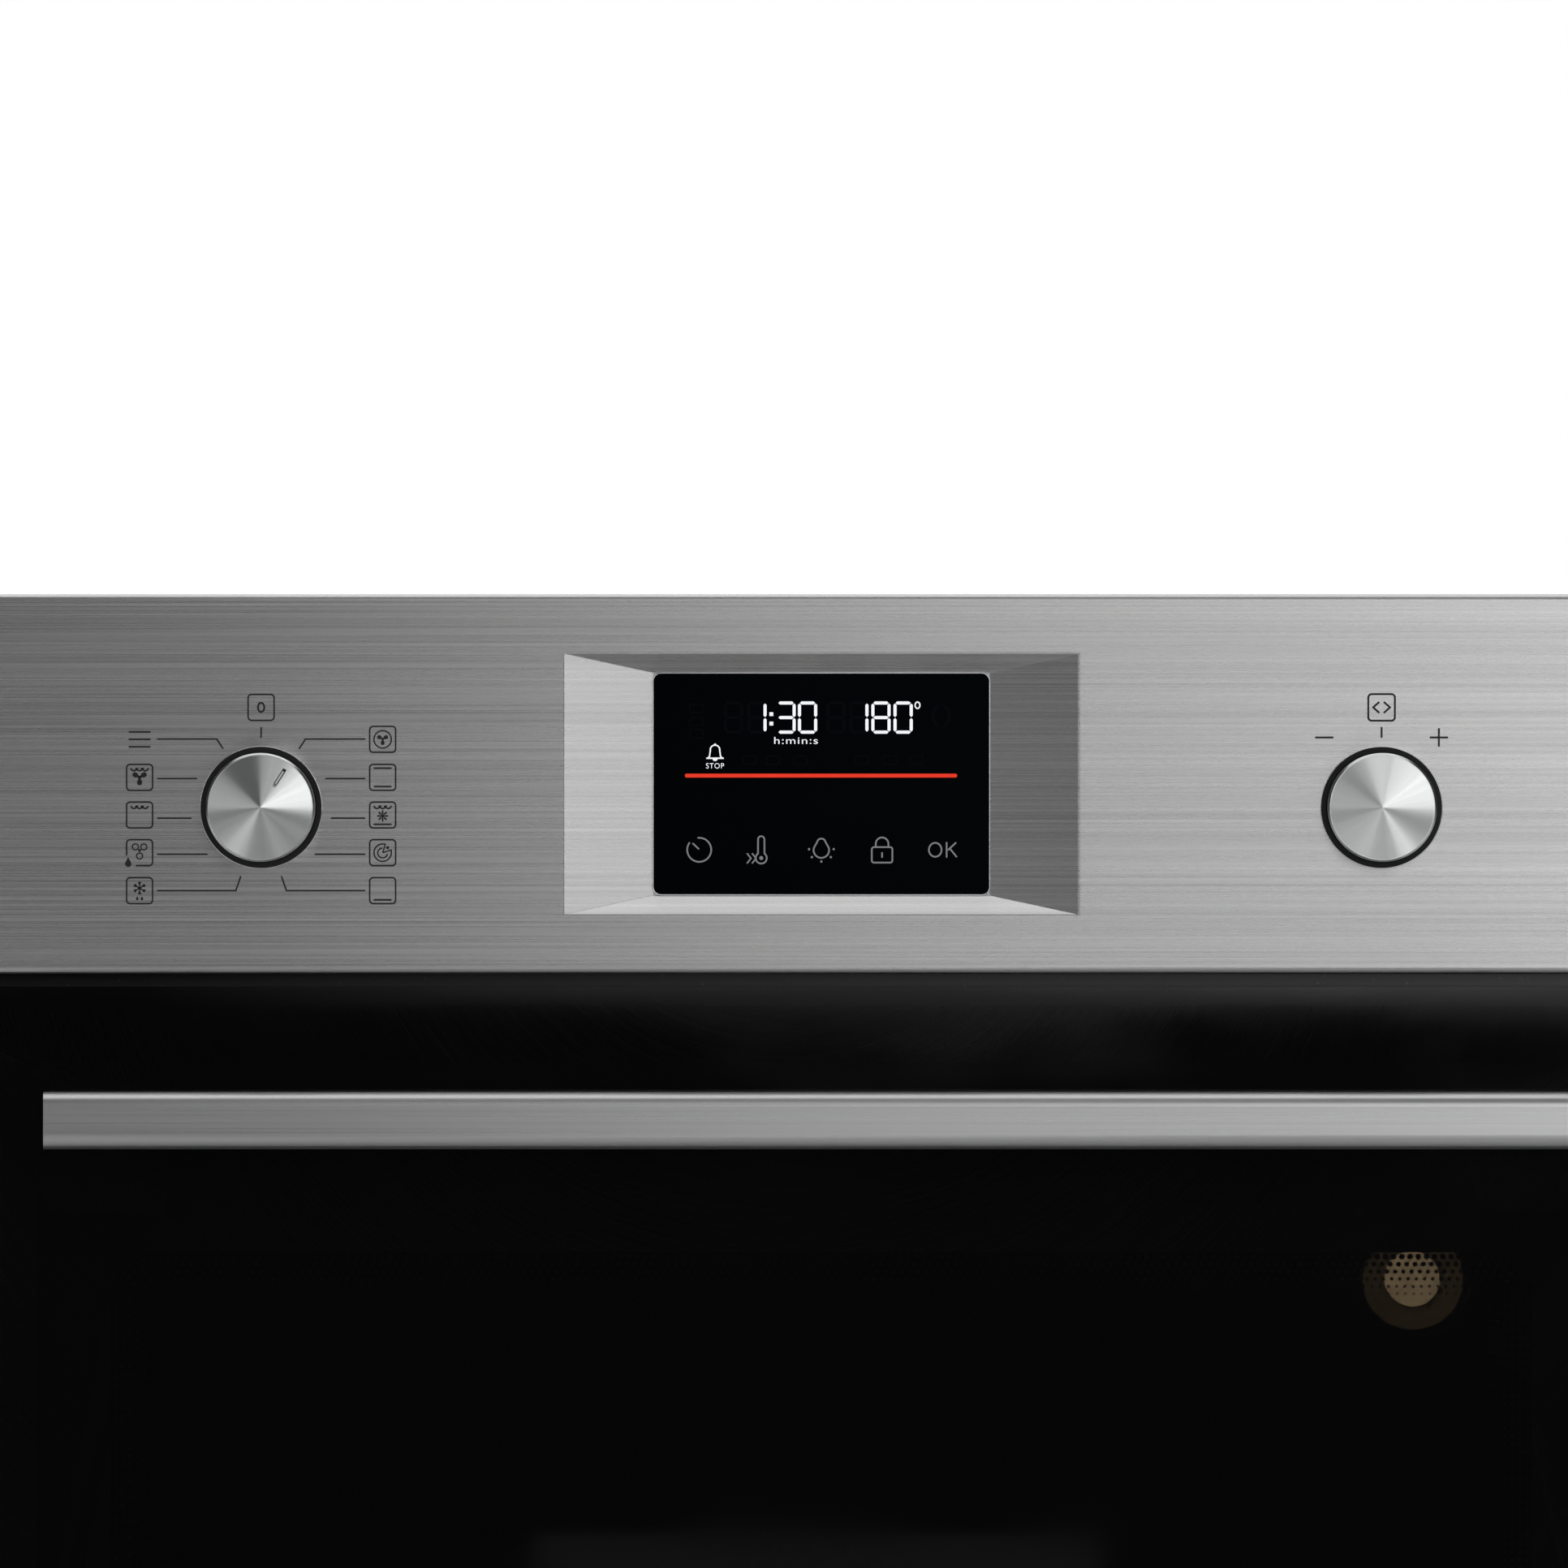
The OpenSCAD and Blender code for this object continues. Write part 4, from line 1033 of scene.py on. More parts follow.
@dataclass
class Display:
    """What the black glass shows, in millimetres from its middle."""

    digit: Point = (6.1, 10.2)
    stroke: float = 0.98
    gap: float = 0.16
    digit_foot: float = 15.9
    time_cells: tuple[tuple[float, str], ...] = ((-23.4, "bc"), (-14.2, "abgcd"), (-7.4, "abcdef"))
    heat_cells: tuple[tuple[float, str], ...] = ((8.8, "bc"), (15.8, "abcdefg"), (22.8, "abcdef"))
    idle_cells: tuple[float, ...] = (-30.8, -23.4, 1.6, 8.8)
    bar: Triple = (-43.1, 42.9, 1.2)
    bar_height: float = 2.65
    colon: tuple[Point, ...] = ((-15.8, 19.1), (-15.8, 22.1))
    colon_half: float = 0.6
    degree: Triple = (30.4, 24.9, 0.75)
    touch_columns: tuple[float, ...] = (-38.6, -20.4, 0.0, 19.2, 38.3)
    touch_row: float = -20.8
    touch_line: float = 0.5
    fine_line: float = 0.42
    thin_line: float = 0.45
    idle_depth: float = 0.02
    idle_line: float = 0.4
    idle_boxes: tuple[Point, ...] = ((-39.5, 23.9), (-39.5, 19.7), (-39.5, 15.9), (-22.6, 7.5),
                                     (-15.4, 7.5), (-6.6, 7.5), (12.8, 7.5), (21.6, 7.5),
                                     (30.0, 7.5))
    idle_rings: tuple[Point, ...] = ((37.6, 21.5), (38.2, 21.5))
    words: tuple[tuple[str, float, float, Point], ...] = (
        ("h:min:s", 2.2, 13.8, (-8.0, 13.75)), ("STOP", 1.7, 5.7, (-33.6, 5.75)))

    def segment(self, pen: Plotter, letter: str, left: float, foot: float) -> None:
        """Draws one segment of a digit.

        Args:
            pen: The drawing.
            letter: The segment, a to g, clockwise from the top with g in the middle.
            left: The digit's left side.
            foot: The digit's lower edge.
        """
        width, height = self.digit
        half, gap = self.stroke / 2, self.gap
        if letter in "adg":
            z = foot + {"a": height - half, "g": height / 2, "d": half}[letter]
            x0, x1 = left + half + gap, left + width - half - gap
            pen.fill([(x0, z), (x0 + half, z + half), (x1 - half, z + half), (x1, z),
                      (x1 - half, z - half), (x0 + half, z - half)])
            return
        x = left + (width - half if letter in "bc" else half)
        z0 = foot + (half if letter in "ce" else height / 2) + gap
        z1 = foot + (height / 2 if letter in "ce" else height - half) - gap
        pen.fill([(x, z0), (x + half, z0 + half), (x + half, z1 - half), (x, z1),
                  (x - half, z1 - half), (x - half, z0 + half)])

    def digits(self, pen: Plotter) -> None:
        """Draws the lit time and temperature."""
        for left, letters in self.time_cells + self.heat_cells:
            for letter in letters:
                self.segment(pen, letter, left, self.digit_foot)
        half = self.colon_half
        for x, z in self.colon:
            pen.fill([(x - half, z - half), (x + half, z - half), (x + half, z + half),
                      (x - half, z + half)])
        x, z, radius = self.degree
        pen.ring((x, z), radius, self.fine_line, stretch=1.35)

    def bell(self, pen: Plotter) -> None:
        """Draws the alarm's bell."""
        pen.move(-33.6, 9.9)
        dome = arc((0.0, 0.9), 1.5, -8, 188, 16)
        pen.stroke([(2.5, -1.9), (1.75, -1.2)] + dome + [(-1.75, -1.2), (-2.5, -1.9)],
                   self.fine_line)
        pen.stroke([(-2.75, -1.75), (2.75, -1.75)], self.thin_line)
        pen.fill(arc((0.0, -1.8), 0.85, 180, 360, 10))
        pen.disc((0.0, 2.55), 0.35)
        pen.move(0.0, 0.0)

    def timer(self, pen: Plotter) -> None:
        """Draws the timer's open dial and hand."""
        pen.stroke(arc((0.0, 0.0), 3.8, 142, 458, 40), self.touch_line)
        pen.stroke([(-0.1, 0.2), (-2.1, 2.1)], self.touch_line)

    def thermometer(self, pen: Plotter) -> None:
        """Draws the thermometer with two chevrons."""
        tube = arc((1.4, 3.3), 1.0, 0, 180, 12) + arc((1.4, -2.6), 1.75, 126, 414, 24)
        pen.stroke(tube, self.touch_line, closed=True)
        pen.disc((1.4, -2.6), 0.62)
        for left in (-3.1, -1.5):
            pen.stroke([(left, -1.1), (left + 1.25, -2.7), (left, -4.3)], self.thin_line)

    def bulb(self, pen: Plotter) -> None:
        """Draws the light's bulb with its rays."""
        glass = arc((0.0, -0.1), 2.45, 160, 380, 22) + arc((0.0, 2.2), 1.35, 10, 170, 12)
        pen.stroke(glass, self.touch_line, closed=True)
        for angle in (0, -40, -90, -140, 180):
            turn = math.radians(angle)
            pen.disc((3.9 * math.cos(turn), 0.2 + 3.9 * math.sin(turn)), 0.36)

    def padlock(self, pen: Plotter) -> None:
        """Draws the lock."""
        body = [(x, z - 1.6) for x, z in rounded_box(6.5, 4.9, 0.7)]
        pen.stroke(body, self.touch_line, closed=True)
        pen.stroke([(2.0, 0.9)] + arc((0.0, 1.9), 2.0, 0, 180, 16) + [(-2.0, 0.9)],
                   self.touch_line)
        pen.stroke([(0.0, -2.5), (0.0, -0.8)], self.touch_line)

    def okay(self, pen: Plotter) -> None:
        """Draws the confirm sign."""
        pen.ring((-2.3, 0.0), 2.0, self.touch_line, stretch=1.1)
        pen.stroke([(1.3, -2.45), (1.3, 2.45)], self.touch_line)
        pen.stroke([(4.3, 2.3), (1.7, -0.1)], self.touch_line)
        pen.stroke([(2.3, 0.45), (4.5, -2.3)], self.touch_line)

    def idle_signs(self, pen: Plotter) -> None:
        """Draws the unlit segments, which just show in the glass by a faint painted glow."""
        for left in self.idle_cells:
            for letter in "abcdefg":
                self.segment(pen, letter, left, self.digit_foot)
        for place in self.idle_boxes:
            pen.move(*place).stroke(rounded_box(4.2, 2.6, 0.5), self.idle_line, closed=True)
        pen.move(0.0, 0.0)
        for place in self.idle_rings:
            pen.ring(place, 2.6, self.thin_line, stretch=1.3)

    def draw(self, face: Vector) -> None:
        """Draws everything that the glass shows.

        Args:
            face: The middle of the glass's front face.
        """
        white = Plotter(face)
        self.digits(white)
        self.bell(white)
        white.finish("display_white", "oven", "white_plastic", LIT_WHITE)
        # The unlit marks are given a faint painted glow.
        idle = Plotter(face, self.idle_depth)
        self.idle_signs(idle)
        idle.finish("display_idle", "oven", "white_plastic", UNLIT_PAINTED_GLOW)
        red = Plotter(face)
        start, end, width = self.bar
        red.move((start + end) / 2, self.bar_height)
        red.fill(rounded_box(end - start, width, 0.5))
        red.finish("display_bar", "oven", "white_plastic", LIT_RED)
        grey = Plotter(face)
        signs = (self.timer, self.thermometer, self.bulb, self.padlock, self.okay)
        for column, sign in zip(self.touch_columns, signs):
            sign(grey.move(column, self.touch_row))
        grey.finish("display_touch_signs", "oven", "white_plastic", LIT_GREY)
        for text, height, width, (x, z) in self.words:
            place = face + Vector((x, -INK_DEPTH / 2, z)) * MM
            add_piece(lettering(text, height, width, place), "display_word_" + text[0].lower(),
                      "oven", LIT_WHITE)


@dataclass
class ControlPanel:
    """The brushed panel with its recess, display, rings and knobs."""

    lip_radius: float = 0.24 * MM
    lip_rise: float = 0.1 * MM
    lip_gap: float = 0.2
    lip_corner: float = 2.6
    collar_radius: float = 0.2 * MM
    collar_rise: float = 0.02 * MM
    ring_width: float = 1.98 * MM
    groove_depth: float = 0.5 * MM
    pointer_span: Point = (8.2, 14.0)
    pointer_angle: float = 32.7
    selector: Selector = field(default_factory=Selector)
    adjuster: Adjuster = field(default_factory=Adjuster)
    display: Display = field(default_factory=Display)

    def knob_axis(self, side: str) -> Vector:
        """The middle of a knob's ring, on the panel's face."""
        low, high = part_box("bezel_" + side)
        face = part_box("fascia")[0].y
        return Vector(((low.x + high.x) / 2, face, (low.z + high.z) / 2))

    def dress(self) -> None:
        """Gives the panel's nodes their finishes."""
        dress(STEEL, "fascia", "display_surround")
        dress(RING_PLASTIC, "bezel_left", "bezel_right")
        dress(DISPLAY_GLASS, "display_glass")
        dress(BLACK_PLASTIC, "panel_carrier", "encoders")
        dress(WHITE_PLASTIC, "display_module")
        dress(BOARD, "touch_board")
        dress(PLATED, "panel_screws", "spindle_left", "spindle_right")
        for side in ("left", "right"):
            axis = self.knob_axis(side)
            turned = TurnedMetal(f"turned_metal_{side}", (0.80, 0.815, 0.815), 0.25,
                                 centre=tuple(axis))
            dress(turned, f"knob_{side}_face")
            dress(KNOB_METAL, f"knob_{side}")

    def add_lip(self) -> None:
        """Makes the bright lip that frames the display glass."""
        low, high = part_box("display_glass")
        middle = (low + high) / 2
        size = (high - low) / MM
        outline = rounded_box(size.x + self.lip_gap, size.z + self.lip_gap, self.lip_corner, 8)
        path = [Vector((middle.x + x * MM, low.y - self.lip_rise, middle.z + z * MM))
                for x, z in outline]
        mesh = sweep(path, bead(self.lip_radius), TO_FRONT)
        add_piece(mesh, "display_lip", "oven", POLISHED)

    def add_collar(self, side: str) -> None:
        """Makes the fine bright edge round a knob's ring."""
        axis = self.knob_axis(side)
        low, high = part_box(f"knob_{side}")
        radius = (high.x - low.x) / 2 + self.ring_width
        path = [Vector((axis.x + x, axis.y - self.collar_rise, axis.z + z))
                for x, z in arc((0.0, 0.0), radius, 0, 360, 96)[:-1]]
        mesh = sweep(path, bead(self.collar_radius), TO_FRONT)
        add_piece(mesh, f"ring_edge_{side}", "oven", POLISHED)

    def add_pointer(self) -> None:
        """Lays a painted highlight, a light line and dot, over a painted shadow, a dark strip round
        it, in the selector's groove.
        """
        axis = self.knob_axis("left")
        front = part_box("knob_left_face")[0].y
        floor = Vector((axis.x, front + self.groove_depth, axis.z))
        turn = math.radians(90 - self.pointer_angle)
        along = (math.cos(turn), math.sin(turn))
        inner, outer = self.pointer_span

        def reach(radius: float) -> Point:
            """The point on the pointer's line at a radius."""
            return (along[0] * radius, along[1] * radius)

        # Painted shadow: a dark strip in the groove stands for the shade on its walls.
        dark = Plotter(floor, 0.1)
        dark.stroke([reach(inner + 0.2), reach(outer + 0.35)], 1.2)
        dark.finish("pointer_inlay", "selector_knob", "black_plastic", INK_AND_PAINTED_SHADOW)
        # Painted highlight: a light line and dot stand for the lit wall and floor of the groove.
        light = Plotter(floor, 0.3)
        light.stroke([reach(inner), reach(outer - 0.5)], 0.62)
        light.disc(reach(inner), 0.6)
        light.finish("pointer_line", "selector_knob", "white_plastic", POINTER_HIGHLIGHT_PLASTIC)

    def build(self) -> None:
        """Dresses the panel and draws everything on it."""
        self.dress()
        self.add_lip()
        for side in ("left", "right"):
            self.add_collar(side)
        self.add_pointer()
        self.selector.draw(self.knob_axis("left"))
        self.adjuster.draw(self.knob_axis("right"))
        low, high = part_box("display_glass")
        self.display.draw(Vector(((low.x + high.x) / 2, low.y, (low.z + high.z) / 2)))


# ---------------------------------------------------------------- door


@dataclass
class Door:
    """The drop-down door: tinted glass with a printed border, frame and handle."""

    window_inset: Triple = (72.0, 84.0, 64.0)
    window_radius: float = 14.0
    print_depth: float = 0.08 * MM
    print_gap: float = 0.001 * MM
    print_margin: float = 3.0 * MM
    dot_rows: int = 6
    dot_pitch: float = 2.6
    dot_radius: float = 0.95
    dot_fade: float = 0.75
    row_pitch: float = 2.34
    row_start: float = 0.6
    corner_cut: float = 11.0

    def dress(self) -> None:
        """Gives the door's nodes their finishes."""
        dress(DOOR_GLASS, "door_outer_glass")
        dress(CLEAR_GLASS, "door_mid_glass", "door_inner_glass")
        dress(POWDER_COAT, "door_stiles", "door_top_rail", "door_bottom_rail")
        dress(PLATED, "hinge_arms", "hinge_pins", "handle_screws")
        dress(HANDLE, "handle_bar", "handle_posts")

    def window(self) -> tuple[Vector, float, float]:
        """The window's middle, width and height on the back of the outer glass.

        Returns:
            The middle in metres, and the width and height in millimetres.
        """
        low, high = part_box("door_outer_glass")
        side, top, bottom = (s * MM for s in self.window_inset)
        z0, z1 = low.z + bottom, high.z - top
        middle = Vector(((low.x + high.x) / 2, high.y, (z0 + z1) / 2))
        return middle, (high.x - low.x - 2 * side) / MM, (z1 - z0) / MM

    def add_border(self) -> None:
        """Prints the black border: a thin plate with a rounded window."""
        low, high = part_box("door_outer_glass")
        middle, width, height = self.window()
        inner = rounded_box(width, height, self.window_radius, 8)
        mesh = bmesh.new()
        rings = []
        for y in (high.y + self.print_gap, high.y + self.print_depth):
            hole = [mesh.verts.new((middle.x + x * MM, y, middle.z + z * MM)) for x, z in inner]
            left, right = low.x + self.print_margin, high.x - self.print_margin
            foot, top = low.z + self.print_margin, high.z - self.print_margin
            edge = [mesh.verts.new((x, y, z))
                    for x, z in ((right, top), (left, top), (left, foot), (right, foot))]
            rings.append((hole, edge))
        per = len(inner) // 4
        for hole, edge in rings:
            for quarter in range(4):
                start = quarter * per
                arc_verts = [hole[start + i] for i in range(per)]
                mesh.faces.new(arc_verts + [edge[quarter]])
                after = (quarter + 1) % 4
                mesh.faces.new((arc_verts[-1], hole[(after * per) % len(inner)], edge[after],
                                edge[quarter]))
        for part in (0, 1):
            join_rows(mesh, rings[0][part], rings[1][part])
        add_piece(settle(mesh, "door_border"), "door_border", "door", MASK)

    def add_dots(self) -> None:
        """Prints the rows of shrinking dots inside the border, with a node tree."""
        middle, width, height = self.window()
        parts = []
        for row in range(self.dot_rows):
            inset = (row + self.row_start) * self.row_pitch
            shrink = 1.0 - row / self.dot_rows * self.dot_fade
            tree = Pattern(f"dot_row_{row}", Width=(width - 2 * inset) * MM,
                           Height=(height - 2 * inset) * MM, Pitch=self.dot_pitch * MM,
                           Radius=self.dot_radius * shrink * MM,
                           Corner=(self.window_radius - min(inset, self.corner_cut)) * MM)
            box = tree.add("GeometryNodeCurvePrimitiveQuadrilateral",
                           {"Width": tree.size("Width"), "Height": tree.size("Height")})
            round_box = tree.add("GeometryNodeFilletCurve", {"Curve": box.outputs[0],
                                                             "Radius": tree.size("Corner"),
                                                             "Count": 6}, mode="POLY")
            spots = tree.add("GeometryNodeCurveToPoints", {"Curve": round_box.outputs[0],
                                                           "Length": tree.size("Pitch")},
                             mode="LENGTH")
            dot = tree.add("GeometryNodeMeshCircle", {"Vertices": 8,
                                                      "Radius": tree.size("Radius")},
                           fill_type="NGON")
            many = tree.add("GeometryNodeInstanceOnPoints", {"Points": spots.outputs["Points"],
                                                             "Instance": dot.outputs[0]})
            host = points_mesh("dot_host", [Vector((0.0, 0.0, 0.0))])
            flat = tree.bake(many.outputs[0], MASK, host)
            place = middle + Vector((0.0, self.print_depth / 2, 0.0))
            flat.transform(Matrix.Translation(place) @ UPRIGHT)
            parts.append(flat)
        mesh = bmesh.new()
        for part in parts:
            mesh.from_mesh(part)
        add_piece(settle(mesh, "door_dots", outward=False), "door_dots", "door",
                  MASK)

    def build(self) -> None:
        """Dresses the door and prints its glass."""
        self.dress()
        self.add_border()
        self.add_dots()


# ---------------------------------------------------------------- inside and casing


@dataclass
class Cavity:
    """The cooking space with its heaters, fan, lamp, racks and seal."""

    def build(self) -> None:
        """Gives the cavity's nodes their finishes."""
        dress(CAVITY_ENAMEL, "cavity_liner", "fan_baffle")
        dress(FRAME_ENAMEL, "front_frame")
        dress(TRAY_ENAMEL, "baking_tray")
        dress(CHROME, "wire_shelf", "shelf_ladders")
        dress(TUBE, "grill_element", "bottom_element", "ring_heater")
        dress(PLATED, "convection_fan", "fan_motor", "hinge_housings")
        dress(LENS, "lamp_lens")
        dress(LAMP, "lamp_bulb")
        dress(ROPE, "door_seal")
        dress(WOOL, "insulation")


@dataclass
class Casing:
    """The sheet casing, with its blower, boards, terminal box, trims and screws."""

    head_radius: float = 3.5 * MM
    head_height: float = 1.5 * MM
    head_sides: int = 24
    dome: tuple[Point, ...] = ((1.0, 0.0), (1.0, 0.3), (0.93, 0.55), (0.78, 0.78), (0.62, 0.9))
    slot_half: float = 0.11
    slot_end: float = 0.58
    slot_levels: Point = (0.98, 0.4)

    def dress(self) -> None:
        """Gives the casing's nodes their finishes."""
        dress(ZINC, "base_plate", "side_panel_left", "side_panel_right", "rear_cover",
              "top_cover", "air_duct", "blower_housing")
        dress(STEEL_TRIM, "side_trims", "lower_trim")
        dress(PLATED, "blower_motor", "blower_rotor")
        dress(BOARD, "power_board")
        dress(BLACK_PLASTIC, "terminal_box")

    def screw_head(self) -> bpy.types.Mesh:
        """One domed head with a cross recess, at the origin, facing +Y."""
        mesh = bmesh.new()
        steps, half, end = self.head_sides, self.slot_half, self.slot_end
        rows = []
        for radius, height in self.dome:
            rows.append([mesh.verts.new((self.head_radius * radius * math.cos(t),
                                         self.head_height * height,
                                         self.head_radius * radius * math.sin(t)))
                         for t in (2 * math.pi * i / steps for i in range(steps))])
        for lower, upper in zip(rows, rows[1:]):
            join_rows(mesh, lower, upper)
        mesh.faces.new(list(reversed(rows[0])))
        cross = []
        for quarter in range(4):
            turn = Matrix.Rotation(math.pi / 2 * quarter, 3, "Y")
            for x, z in ((end, -half), (end, half), (half, half)):
                cross.append(turn @ Vector((x * self.head_radius, 0.0, -z * self.head_radius)))
        rims = [[mesh.verts.new(p + Vector((0.0, self.head_height * h, 0.0))) for p in cross]
                for h in self.slot_levels]
        join_rows(mesh, *rims)
        mesh.faces.new(rims[1])
        edges = [mesh.edges.get((loop[i], loop[(i + 1) % len(loop)]))
                 for loop in (rows[-1], rims[0]) for i in range(len(loop))]
        bmesh.ops.bridge_loops(mesh, edges=edges)
        return settle(mesh, "screw_head")

    def add_screws(self) -> None:
        """Repeats the screw head at each of the rear cover's screws, with a node tree."""
        low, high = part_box("casing_screws")
        fan_low, fan_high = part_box("convection_fan")
        heights = (low.z + self.head_radius, (fan_low.z + fan_high.z) / 2,
                   high.z - self.head_radius)
        spots = [Vector((x, low.y, z)) for x in (low.x + self.head_radius,
                                                 high.x - self.head_radius) for z in heights]
        unit = place_object("screw_unit", self.screw_head())
        tree = Pattern("screws", Size=1.0)
        shape = tree.add("GeometryNodeObjectInfo", {"Object": tree.source.outputs["Unit"]})
        points = tree.add("GeometryNodeMeshToPoints", {"Mesh": tree.source.outputs["Geometry"]})
        many = tree.add("GeometryNodeInstanceOnPoints", {
            "Points": points.outputs[0], "Instance": shape.outputs["Geometry"],
            "Scale": tree.size("Size")})
        mesh = tree.bake(many.outputs[0], PLATED, points_mesh("screw_spots", spots), unit)
        bpy.data.objects.remove(unit)
        piece = add_piece(mesh, "rear_screws", "oven", PLATED)
        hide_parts("casing_screws")

    def build(self) -> None:
        """Dresses the casing and adds its screws."""
        self.dress()
        self.add_screws()


# ---------------------------------------------------------------- studio


@dataclass(frozen=True)
class SoftBox:
    """A soft light: its place, what it faces, its size, how bright it is and its full cone."""

    name: str
    place: Triple
    target: Triple
    size: Point
    radiance: float
    cone: float = 180.0

    def power(self) -> float:
        """The power that gives the stated brightness straight ahead, whatever the cone."""
        half = math.radians(self.cone) / 2
        width, height = self.size
        open_power = self.radiance * math.pi * width * height
        return open_power * (1.0 - half / math.tan(half)) if self.cone < 180.0 else open_power


@dataclass
class Studio:
    """The floor, the lights and the camera."""

    floor_half: float = 6.0
    floor_tone: Colour = (0.78, 0.78, 0.78)
    room_tone: Colour = (0.02, 0.02, 0.0205)
    lens: float = 800.0
    sensor: float = 36.0
    sight: float = 60.0
    view_width: float = 0.4954
    view_shift: float = -0.0118
    view_drop: float = 0.060
    card: Point = (2.6, 0.95)
    card_distance: float = 2.74
    card_rise: float = 0.33
    card_power: float = 2.5
    card_stops: tuple[Point, ...] = ((-1.3, 0.1), (-0.75, 0.06), (-0.27, 0.0), (0.6, 1.0),
                                     (0.95, 0.4), (1.3, 0.4))
    boxes: tuple[SoftBox, ...] = (
        SoftBox("strip", (0.0, -3.0, 2.1), (0.0, -0.26, 0.55), (0.5, 1.2), 0.6),
        SoftBox("overhead", (0.0, -0.55, 1.9), (0.0, -0.26, 0.55), (2.0, 0.5), 1.5),
        SoftBox("right", (2.1, -2.6, 1.2), (0.0, -0.26, 0.5), (1.2, 1.6), 1.0),
        SoftBox("left", (-2.1, -2.6, 1.2), (0.0, -0.26, 0.5), (1.2, 1.6), 1.5),
        SoftBox("low_left", (-0.43, -1.5, 0.15), (-0.18, -0.26, 0.5), (0.2, 0.25), 1.2, 36.0),
        SoftBox("low_middle", (0.0, -1.5, 0.15), (0.0, -0.26, 0.5), (0.2, 0.25), 0.7, 36.0),
        SoftBox("low_right", (0.43, -1.5, 0.15), (0.18, -0.26, 0.5), (0.2, 0.25), 2.0, 36.0),
        SoftBox("back", (-0.8, 2.8, 1.5), (0.0, 0.3, 0.3), (2.4, 1.6), 2.2),
        SoftBox("above", (0.0, 0.9, 2.7), (0.0, 0.3, 0.0), (2.6, 2.0), 1.2),
        SoftBox("far_floor", (0.0, 4.4, 3.0), (0.0, 4.5, 0.0), (9.0, 2.6), 1.9, 80.0),
        SoftBox("side_left", (-2.6, 1.1, 1.3), (0.0, 0.2, 0.3), (1.8, 1.8), 1.5),
        SoftBox("side_right", (2.6, 1.1, 1.3), (0.0, 0.2, 0.3), (1.8, 1.8), 1.4),
    )

    def add_floor(self) -> None:
        """Lays a plain pale floor."""
        mesh = bmesh.new()
        bmesh.ops.create_grid(mesh, x_segments=1, y_segments=1, size=self.floor_half)
        made = settle(mesh, "floor", outward=False)
        floor = place_object("floor", made)
        shader = Shader("floor", self.floor_tone, 0.6)
        made.materials.append(shader.material)

    def add_card(self, face: Vector) -> None:
        """Hangs a glowing card opposite the panel, bright on the right and dim on the left.

        Args:
            face: The middle of the panel's top edge, on its face.
        """
        width, height = self.card
        mesh = bmesh.new()
        corners = [mesh.verts.new((x * width / 2, 0.0, z * height / 2))
                   for x, z in ((1, -1), (-1, -1), (-1, 1), (1, 1))]
        mesh.faces.new(corners)
        made = settle(mesh, "card", outward=False)
        card = place_object("card", made)
        card.location = face + Vector((0.0, -self.card_distance, self.card_rise))
        card.visible_camera = False
        shader = Shader("card", (0.0, 0.0, 0.0), 1.0)
        across = shader.add("ShaderNodeSeparateXYZ", {0: shader.coords}).outputs["X"]
        half = width / 2
        ramp = shader.add("ShaderNodeValToRGB", {0: shader.spread(across, 0.0, 1.0,
                                                                  (-half, half))})
        steps = ramp.color_ramp.elements
        for step, (place, level) in enumerate(self.card_stops):
            at = 0.5 + place / width
            stop = steps[0] if step == 0 else steps.new(at)
            stop.position = at
            stop.color = (level, level, level, 1.0)
        steps.remove(steps[-1])
        shader.drive("Emission Color", ramp.outputs["Color"])
        shader.set("Emission Strength", self.card_power)
        made.materials.append(shader.material)

    def add_light(self, box: SoftBox) -> None:
        """Adds a soft box to the scene.

        Args:
            box: The light's place, size and brightness.
        """
        lamp = bpy.data.lights.new(box.name, "AREA")
        lamp.shape = "RECTANGLE"
        lamp.size, lamp.size_y = box.size
        lamp.energy = box.power()
        lamp.spread = math.radians(box.cone)
        holder = place_object(box.name, lamp)
        holder.location = box.place
        facing = Vector(box.target) - Vector(box.place)
        holder.rotation_euler = facing.to_track_quat("-Z", "Y").to_euler()
        holder.visible_camera = False

    def add_world(self) -> None:
        """Makes the surroundings: white to the eye, dim in reflections."""
        world = bpy.data.worlds.new("studio")
        bpy.context.scene.world = world
        world.use_nodes = True
        nodes, links = world.node_tree.nodes, world.node_tree.links
        ray = nodes.new("ShaderNodeLightPath")
        seen = nodes.new("ShaderNodeBackground")
        seen.inputs["Color"].default_value = (1.0, 1.0, 1.0, 1.0)
        dim = nodes["Background"]
        dim.inputs["Color"].default_value = (*self.room_tone, 1.0)
        mix = nodes.new("ShaderNodeMixShader")
        links.new(ray.outputs["Is Camera Ray"], mix.inputs[0])
        links.new(dim.outputs[0], mix.inputs[1])
        links.new(seen.outputs[0], mix.inputs[2])
        links.new(mix.outputs[0], nodes["World Output"].inputs[0])

    def add_camera(self, face: Vector) -> None:
        """Points the camera square at the panel.

        Args:
            face: The middle of the panel's top edge, on its face.
        """
        camera = bpy.data.cameras.new("camera")
        camera.lens = self.lens
        camera.sensor_width = self.sensor
        camera.clip_end = self.sight
        holder = place_object("camera", camera)
        distance = self.view_width * self.lens / self.sensor
        holder.location = face + Vector((self.view_shift, -distance, -self.view_drop))
        holder.rotation_euler = (math.pi / 2, 0.0, 0.0)
        bpy.context.scene.camera = holder

    def build(self) -> None:
        """Sets up the floor, the lights and the camera."""
        low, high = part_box("fascia")
        face = Vector(((low.x + high.x) / 2, low.y, high.z))
        self.add_floor()
        self.add_world()
        self.add_card(face)
        for box in self.boxes:
            self.add_light(box)
        self.add_camera(face)
        bpy.context.scene.view_settings.view_transform = "Standard"


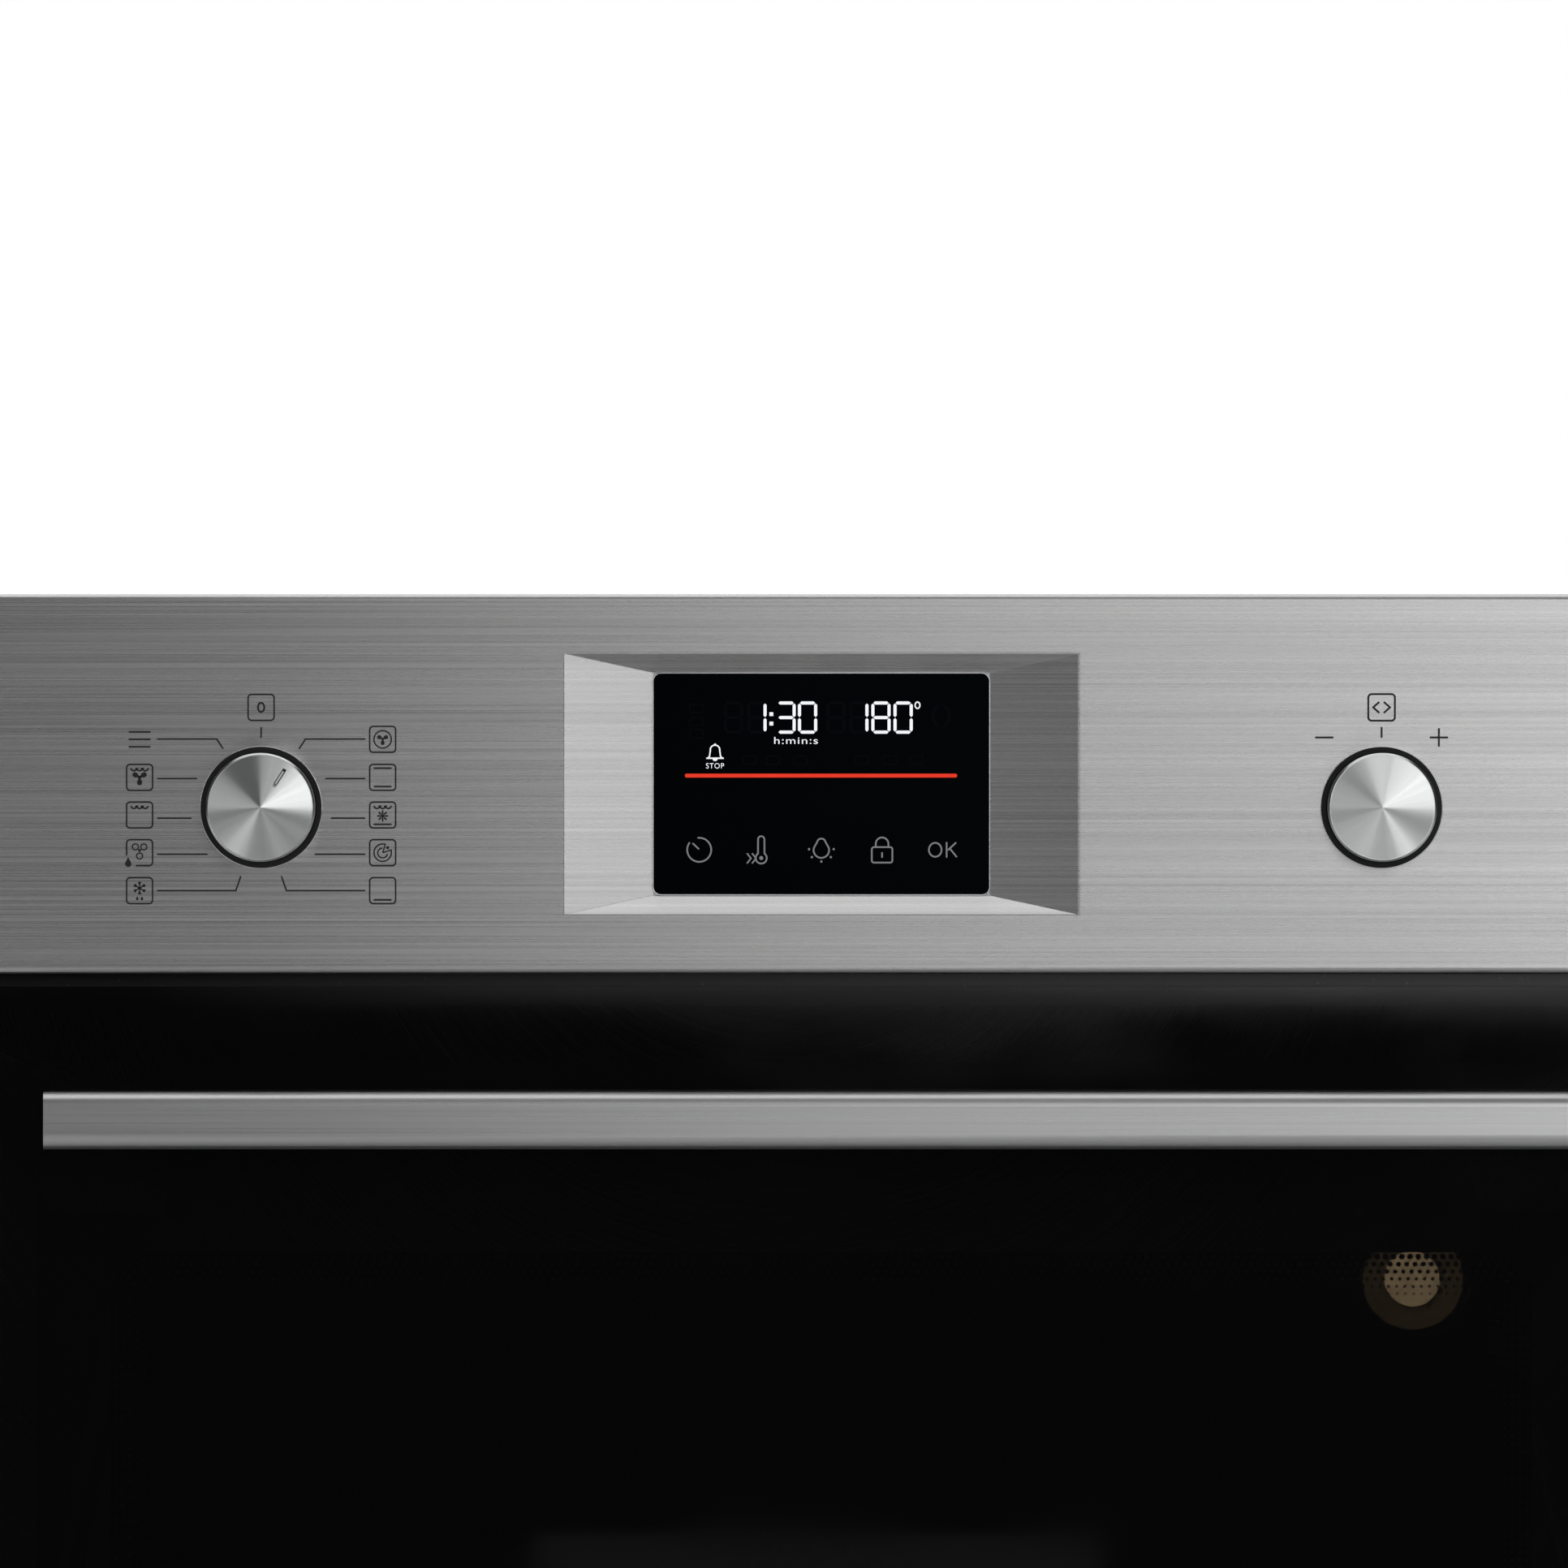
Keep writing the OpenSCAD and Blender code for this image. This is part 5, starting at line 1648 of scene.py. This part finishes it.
def main() -> None:
    """Builds the oven's looks round the frame, then the studio."""
    logging.basicConfig(level=logging.INFO, format="%(message)s")
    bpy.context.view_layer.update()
    for part in (ControlPanel(), Door(), Cavity(), Casing()):
        part.build()
        log.info("%s is ready", type(part).__name__)
    Studio().build()


if __name__ == "__main__":
    main()
